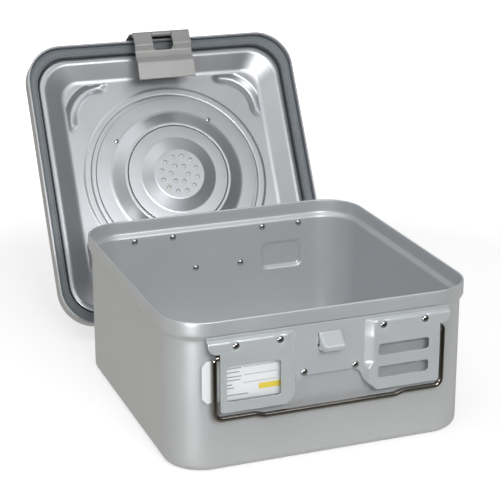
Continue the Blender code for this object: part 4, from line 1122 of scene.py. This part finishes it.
@dataclass
class FilterStack:
    """Filter ring with its studs, and the perforated cap in its collar."""

    pose: LidPose
    flange: float = 0.0160
    rise: float = 0.0083
    sheet_metal: float = 0.0010
    outer: float = 0.0867
    foot: float = 0.0695
    shoulder: float = 0.0575
    collar: float = 0.0545
    stud_radius: float = 0.0740
    stud_turn: float = 37.0
    cap_radius: float = 0.05430
    cap_slope: float = 0.0405
    boss: float = 0.0270
    boss_rise: float = 0.0050
    hole: float = 0.0017
    hole_flare: float = 0.0006

    def ring(self) -> Surface:
        """Filter ring: flat flange, slope up to a rounded shoulder and a turned-in collar."""
        face = self.flange - self.rise
        t = self.sheet_metal
        front = filleted([(self.outer, self.flange - 0.0002), (self.outer - 0.0004, self.flange - t),
                          (self.foot + 0.0010, self.flange - t), (self.shoulder, face), (self.collar, face),
                          (self.collar, face + 0.0045)], (0.0, 0.0002, 0.0110, 0.0022, 0.0006, 0.0), 9)
        back = filleted([(self.collar + t, face + 0.0045), (self.collar + t, face + t),
                         (self.shoulder - 0.0003, face + t), (self.foot + 0.0007, self.flange),
                         (self.outer, self.flange)], (0.0, 0.0004, 0.0012, 0.0105, 0.0), 8)
        return turned(np.vstack((front, back)), 160, ring=True)

    def cap(self) -> Surface:
        """Cap: skirt, rounded edge, flat ring and a slope up to the flat boss."""
        face = self.flange - self.rise
        boss = face - self.boss_rise
        t = self.sheet_metal
        front = filleted([(0.004, boss), (self.boss, boss), (self.cap_slope, face),
                          (self.cap_radius - 0.0004, face),
                          (self.cap_radius, face + 0.0060)], (0.0, 0.0045, 0.0060, 0.0007, 0.0), 9)
        back = filleted([(self.cap_radius - t, face + 0.0060), (self.cap_radius - t, face + t),
                         (self.cap_slope - 0.0003, face + t), (self.boss - 0.0003, boss + t),
                         (0.004, boss + t)],
                        (0.0, 0.0008, 0.0055, 0.0040, 0.0), 8)
        return turned(np.vstack((front, back)), 160)

    def holes(self) -> Surface:
        """Flared bars where the cap is perforated, in rings of six and of twelve."""
        boss = self.flange - self.rise - self.boss_rise
        wide = self.hole + 2 * self.hole_flare
        profile = np.array([[wide, boss - self.hole_flare], [self.hole, boss + self.hole_flare],
                            [self.hole, boss + 0.004]])
        return bars_round(profile, ((0.0094, 6, 7.5), (0.0195, 12, 15.0)))

    def build(self, shop: Workshop) -> None:
        """Put ring, studs and cap in the scene."""
        place = self.pose.matrix()
        shop.piece("filter_ring_pressed", self.ring().moved(place), LID_ALUMINIUM, "lid",
                   ("filter_ring",))
        cap = shop.piece("filter_cap_perforated", self.cap().moved(place), LID_ALUMINIUM, "filter_cap",
                         ("filter_cap",))
        shop.cut(cap, self.holes().moved(place))
        boss = self.flange - self.rise - self.boss_rise + self.sheet_metal
        felt = turned(np.array([[0.0245, boss + 0.0001], [0.0250, boss + 0.0006]]), 64)
        shop.piece("cap_filter_felt", felt.moved(place), FILTER_PAPER, "filter_cap")
        stud = Rivet(0.0014, 0.0026, 0.0012).surface(self.flange - self.sheet_metal, 0.0202)
        for number in range(4):
            turn = radians(self.stud_turn + 90.0 * number)
            spot = Matrix.Translation((self.stud_radius * cos(turn), self.stud_radius * sin(turn), 0.0))
            shop.piece(f"ring_stud_{number + 1}", stud.moved(place @ spot), RIVET_METAL, "lid",
                       (f"filter_stud_{number + 1}",))
        shop.dress("filter_disc", FILTER_PAPER)


@dataclass
class Latch:
    """Sheet-metal latch: a bracket round the lid's edge and a flap hinged on its pin."""

    pose: LidPose
    edge: float = 0.1485
    half: float = 0.03075
    sheet_metal: float = 0.0012
    pin_out: float = 0.0015
    pin_level: float = -0.0125
    knuckle: float = 0.0040
    strap_out: float = 0.00835
    flange: float = 0.0180
    flange_level: float = 0.0194
    strap_end: float = -0.0082
    window_half: float = 0.0109
    window_end: float = 0.0190
    length: float = 0.0492

    def formed(self, route: Route, outline: Callable[[Array, Array], Array],
               stops: Sequence[float]) -> Surface:
        """Sheet bent along a route across Y and Z, cut to an outline of X and running length."""

        def place(x: Array, along: Array) -> Array:
            """Place on the sheet at a distance across and along it."""
            out, height = route.at(along)
            return np.stack((x, out, height), axis=-1)

        x_stops = (-self.half, -self.window_half, 0.0, self.window_half, self.half)
        return sheet(lines_between(x_stops, 0.0010), lines_between(stops, 0.0005), outline, place,
                     self.sheet_metal)

    def flap(self) -> Surface:
        """Flap: rolled round the pin, with a ridge, a dish, a ridge and a flat, turned-in end."""
        roll = self.knuckle - self.sheet_metal
        curl = arc((0.0, 0.0), roll, -10, 270, 26)
        leaf = filleted([(0.0, -roll), (0.0062, -roll - 0.0002), (0.0122, -roll - 0.0012),
                         (0.0190, -roll + 0.0020), (0.0250, -roll + 0.0020), (0.0310, -roll - 0.0006),
                         (self.length, -roll + 0.0020), (self.length + 0.0002, -roll + 0.0032)],
                        (0.0, 0.0050, 0.0030, 0.0060, 0.0012, 0.0040, 0.0006, 0.0), 6)[1:]
        route = Route(np.vstack((curl, leaf)))
        rolled = float(route.marks[len(curl) - 1])
        end = float(route.marks[-1])
        edge = RoundedBox((0.0, end / 2), (self.half, end / 2), 0.0007)
        low = -0.010
        high = rolled + self.window_end
        window = RoundedBox((0.0, (low + high) / 2), (self.window_half, (high - low) / 2), 0.0045)

        def outline(x: Array, along: Array) -> Array:
            """Flap less its window."""
            return np.maximum(edge.distance(x, along), -window.distance(x, along))

        surface = self.formed(route, outline, (0.0, rolled, high - 0.0045, high, end))
        return surface.moved(Matrix.Translation((0.0, -self.edge - self.pin_out, self.pin_level)))

    def bracket(self) -> Surface:
        """Bracket: flange on the ridge, strap bowed round the edge and a rolled middle tongue."""
        far = self.edge + self.strap_out - self.sheet_metal
        near = self.edge + self.pin_out
        roll = self.knuckle - self.sheet_metal
        lead = filleted([(-far - self.sheet_metal + self.flange, self.flange_level),
                         (-far, self.flange_level),
                         (-far, -0.0010), (-near - roll, self.strap_end), (-near - roll, self.pin_level)],
                        (0.0, 0.0050, 0.0090, 0.0030, 0.0), 10)
        curl = arc((-near, self.pin_level), roll, 180, 450, 26)
        route = Route(np.vstack((lead, curl[1:])))
        strap = float(route.marks[len(lead) - 1]) + self.pin_level - self.strap_end
        end = float(route.marks[-1])
        plate = RoundedBox((0.0, strap / 2), (self.half, strap / 2), 0.0015)
        tongue = RoundedBox((0.0, end / 2), (self.window_half - 0.0006, end / 2), 0.0003)

        def outline(x: Array, along: Array) -> Array:
            """Plate and tongue together."""
            return np.minimum(plate.distance(x, along), tongue.distance(x, along))

        return self.formed(route, outline, (0.0, strap, end))

    def pin(self) -> Surface:
        """Hinge pin with rounded ends."""
        end = filleted([(0.0005, self.half), (0.0016, self.half), (0.0016, -self.half), (0.0005, -self.half)],
                       (0.0, 0.0004, 0.0004, 0.0), 4)
        across = Matrix.Translation((0.0, -self.edge - self.pin_out, self.pin_level)) @ Matrix.Rotation(
            pi / 2, 4, "Y")
        return turned(end, 24).moved(across)

    def build(self, shop: Workshop, side: Side) -> None:
        """Put the latch of one edge in the scene."""
        name = side.value
        place = self.pose.matrix(side)
        shop.piece(f"{name}_latch_leaf", self.flap().moved(place), LATCH_STEEL, f"{name}_latch",
                   (f"{name}_latch_flap",), bevel=0.0002)
        shop.piece(f"{name}_latch_strap", self.bracket().moved(place), LATCH_STEEL, "lid",
                   (f"{name}_latch_bracket",), bevel=0.0002)
        shop.piece(f"{name}_hinge_pin", self.pin().moved(place), RIVET_METAL, "lid",
                   (f"{name}_latch_pin",))
        for number, hand in ((1, -1), (2, 1)):
            spot = Matrix.Translation((hand * 0.0200, -self.edge + 0.0070, 0.0))
            rivet = Rivet(0.0016, 0.0030, 0.0012).surface(0.0169, 0.0202)
            shop.piece(f"{name}_strap_rivet_{number}", rivet.moved(place @ spot), RIVET_METAL, "lid",
                       (f"{name}_latch_rivet_{number}",))


@dataclass
class Studio:
    """Pale floor, soft lamps, room light and the camera."""

    eye: tuple[float, float, float] = (-0.5018, -1.2855, 0.6117)
    azimuth: float = -20.63
    elevation: float = 18.86
    roll: float = -0.11
    lens: float = 115.18
    left_level: float = 0.52
    right_level: float = 0.18
    low_level: float = 0.06
    back_level: float = 0.36
    top_level: float = 0.60
    near_floor: float = 0.50
    far_floor: float = 0.06
    shadow_reach: float = 0.50
    key: float = 17.0
    strip: float = 24.0
    fill: float = 2.4
    top: float = 0.9

    def camera(self) -> None:
        """The photograph's viewpoint."""
        data = bpy.data.cameras.new("camera")
        data.lens = self.lens
        data.sensor_width = 36.0
        item = bpy.data.objects.new("camera", data)
        bpy.context.collection.objects.link(item)
        turn = (Matrix.Rotation(radians(self.azimuth), 4, "Z")
                @ Matrix.Rotation(radians(90.0 - self.elevation), 4, "X")
                @ Matrix.Rotation(radians(self.roll), 4, "Z"))
        item.matrix_world = Matrix.Translation(self.eye) @ turn
        bpy.context.scene.camera = item

    def lamp(self, name: str, place: Sequence[float], aim: Sequence[float], size: tuple[float, float],
             radiance: float, diffuse: bool = True) -> None:
        """A soft box whose face has a given radiance.

        A lamp of power P and area A has the radiance P / (pi A).

        Args:
            name: The lamp's name.
            place: Where it stands.
            aim: What it faces.
            size: Its width and height.
            radiance: How bright its face is.
            diffuse: Whether matt surfaces are lit by it, or only shine.
        """
        data = bpy.data.lights.new(name, "AREA")
        data.shape = "RECTANGLE"
        data.size, data.size_y = size
        data.energy = radiance * pi * size[0] * size[1]
        item = bpy.data.objects.new(name, data)
        item.visible_diffuse = diffuse
        bpy.context.collection.objects.link(item)
        start = Matrix.Translation(place)
        toward = np.array(aim, dtype=float) - np.array(place, dtype=float)
        toward /= np.linalg.norm(toward)
        right = np.cross(toward, (0.0, 0.0, 1.0))
        right /= np.linalg.norm(right)
        up = np.cross(right, toward)
        turn = Matrix(np.stack((right, up, -toward), axis=-1).tolist()).to_4x4()
        item.matrix_world = start @ turn

    def room(self) -> None:
        """Room light: pale on the left and behind, dim on the right and low in front.

        Steps of the direction's X, Y and Z blend the levels. Light Path keeps the room
        white for the camera and clear glass.
        """
        world = bpy.data.worlds.new("room")
        bpy.context.scene.world = world
        world.use_nodes = True
        tree = world.node_tree
        tree.nodes.clear()
        aim = add_node(tree, "ShaderNodeTexCoord").outputs["Generated"]
        axes = add_node(tree, "ShaderNodeSeparateXYZ", {0: aim}).outputs

        def step(axis: int, low: float, high: float) -> bpy.types.NodeSocket:
            """Smooth rise from 0 to 1 along one axis."""
            return add_node(tree, "ShaderNodeMapRange", {"Value": axes[axis], "From Min": low,
                                                         "From Max": high},
                            interpolation_type="SMOOTHSTEP").outputs[0]

        def blend(share: bpy.types.NodeSocket, first: Any, second: Any) -> bpy.types.NodeSocket:
            """Blend of two levels."""
            return add_node(tree, "ShaderNodeMix", {0: share, 2: first, 3: second},
                            data_type="FLOAT").outputs[0]

        level = blend(step(0, -0.45, 0.75), self.left_level, self.right_level)
        level = blend(step(2, -0.02, 0.35), self.low_level, level)
        level = blend(step(1, -0.15, 0.45), level, self.back_level)
        level = blend(step(2, 0.65, 0.95), level, self.top_level)
        seen = add_node(tree, "ShaderNodeLightPath")
        shown = add_node(tree, "ShaderNodeMath", {0: seen.outputs["Is Camera Ray"],
                                                  1: seen.outputs["Is Transmission Ray"]},
                         operation="MAXIMUM").outputs[0]
        light = add_node(tree, "ShaderNodeBackground", {"Color": (1.0, 1.0, 1.0, 1.0),
                                                        "Strength": blend(shown, level, 1.0)})
        add_node(tree, "ShaderNodeOutputWorld", {0: light.outputs[0]})

    def floor(self) -> None:
        """Matt white floor that looks white to the camera and keeps a soft shadow.

        Metal sees it mid grey near the object and dim far in front, where the table ends.
        """
        half = 6.0
        mesh = bpy.data.meshes.new("floor")
        mesh.from_pydata([(-half, -half, 0.0), (half, -half, 0.0), (half, half, 0.0), (-half, half, 0.0)], [],
                         [(0, 1, 2, 3)])
        material, tree, shader = new_material("matt white studio floor")
        shader.inputs["Base Color"].default_value = linear("#F2F2F2")
        shader.inputs["Roughness"].default_value = 0.9
        place = add_node(tree, "ShaderNodeTexCoord").outputs["Object"]
        ahead = add_node(tree, "ShaderNodeSeparateXYZ", {0: place}).outputs[1]
        near = add_node(tree, "ShaderNodeMapRange", {"Value": ahead, "From Min": -0.30, "From Max": -0.16,
                                                     "To Min": self.far_floor,
                                                     "To Max": self.near_floor}).outputs[0]
        seen = add_node(tree, "ShaderNodeLightPath")
        level = add_node(tree, "ShaderNodeMix", {0: seen.outputs["Is Glossy Ray"], 2: 1.38, 3: near},
                         data_type="FLOAT").outputs[0]
        away = add_node(tree, "ShaderNodeVectorMath", {0: place}, operation="LENGTH").outputs["Value"]
        lit = add_node(tree, "ShaderNodeMapRange", {"Value": away, "From Min": self.shadow_reach,
                                                    "From Max": 2 * self.shadow_reach,
                                                    "To Min": 0.45, "To Max": 1.0}).outputs[0]
        shown = add_node(tree, "ShaderNodeMath", {0: seen.outputs["Is Camera Ray"], 1: lit},
                         operation="MULTIPLY").outputs[0]
        clear = add_node(tree, "ShaderNodeMath", {0: shown, 1: seen.outputs["Is Glossy Ray"]},
                         operation="MAXIMUM").outputs[0]
        share = add_node(tree, "ShaderNodeMath", {0: clear, 1: seen.outputs["Is Transmission Ray"]},
                         operation="MAXIMUM").outputs[0]
        tint = add_node(tree, "ShaderNodeMix", {0: seen.outputs["Is Glossy Ray"], 6: linear("#FFFFFF"),
                                                7: linear("#FFFBF0")}, data_type="RGBA").outputs[2]
        glow = add_node(tree, "ShaderNodeEmission", {"Color": tint, "Strength": level})
        blend = add_node(tree, "ShaderNodeMixShader", {0: share, 1: shader.outputs[0], 2: glow.outputs[0]})
        tree.links.new(blend.outputs[0], tree.nodes["Material Output"].inputs[0])
        mesh.materials.append(material)
        item = bpy.data.objects.new("floor", mesh)
        bpy.context.collection.objects.link(item)

    def build(self) -> None:
        """Set the whole studio up."""
        self.camera()
        self.room()
        self.floor()
        middle = (0.0, 0.08, 0.10)
        self.lamp("key soft box", (-0.05, -1.90, 1.12), middle, (0.80, 0.50), self.key)
        self.lamp("left low lamp", (-0.60, -0.70, 0.10), middle, (0.22, 0.18), self.strip, diffuse=False)
        self.lamp("right fill box", (0.62, -1.45, 1.45), middle, (0.45, 0.40), self.fill)
        self.lamp("top soft box", (-0.6, -0.1, 2.0), middle, (1.6, 1.6), self.top)
        bpy.context.scene.view_settings.view_transform = "Standard"


def main() -> None:
    """Build every sub-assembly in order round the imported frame."""
    logging.basicConfig(level=logging.INFO, format="%(name)s: %(message)s")
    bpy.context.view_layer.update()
    shop = Workshop()
    Studio().build()
    Tub().build(shop)
    plate = FittingPlate()
    for side in Side:
        plate.build(shop, side)
        PlateRivets(plate).build(shop, side)
        Bail().build(shop, side)
        LabelCard().build(shop, side)
    pose = LidPose()
    shell = LidShell(pose)
    shell.build(shop)
    Gasket(pose, shell).build(shop)
    FilterStack(pose).build(shop)
    for side in Side:
        Latch(pose).build(shop, side)


if __name__ == "__main__":
    main()
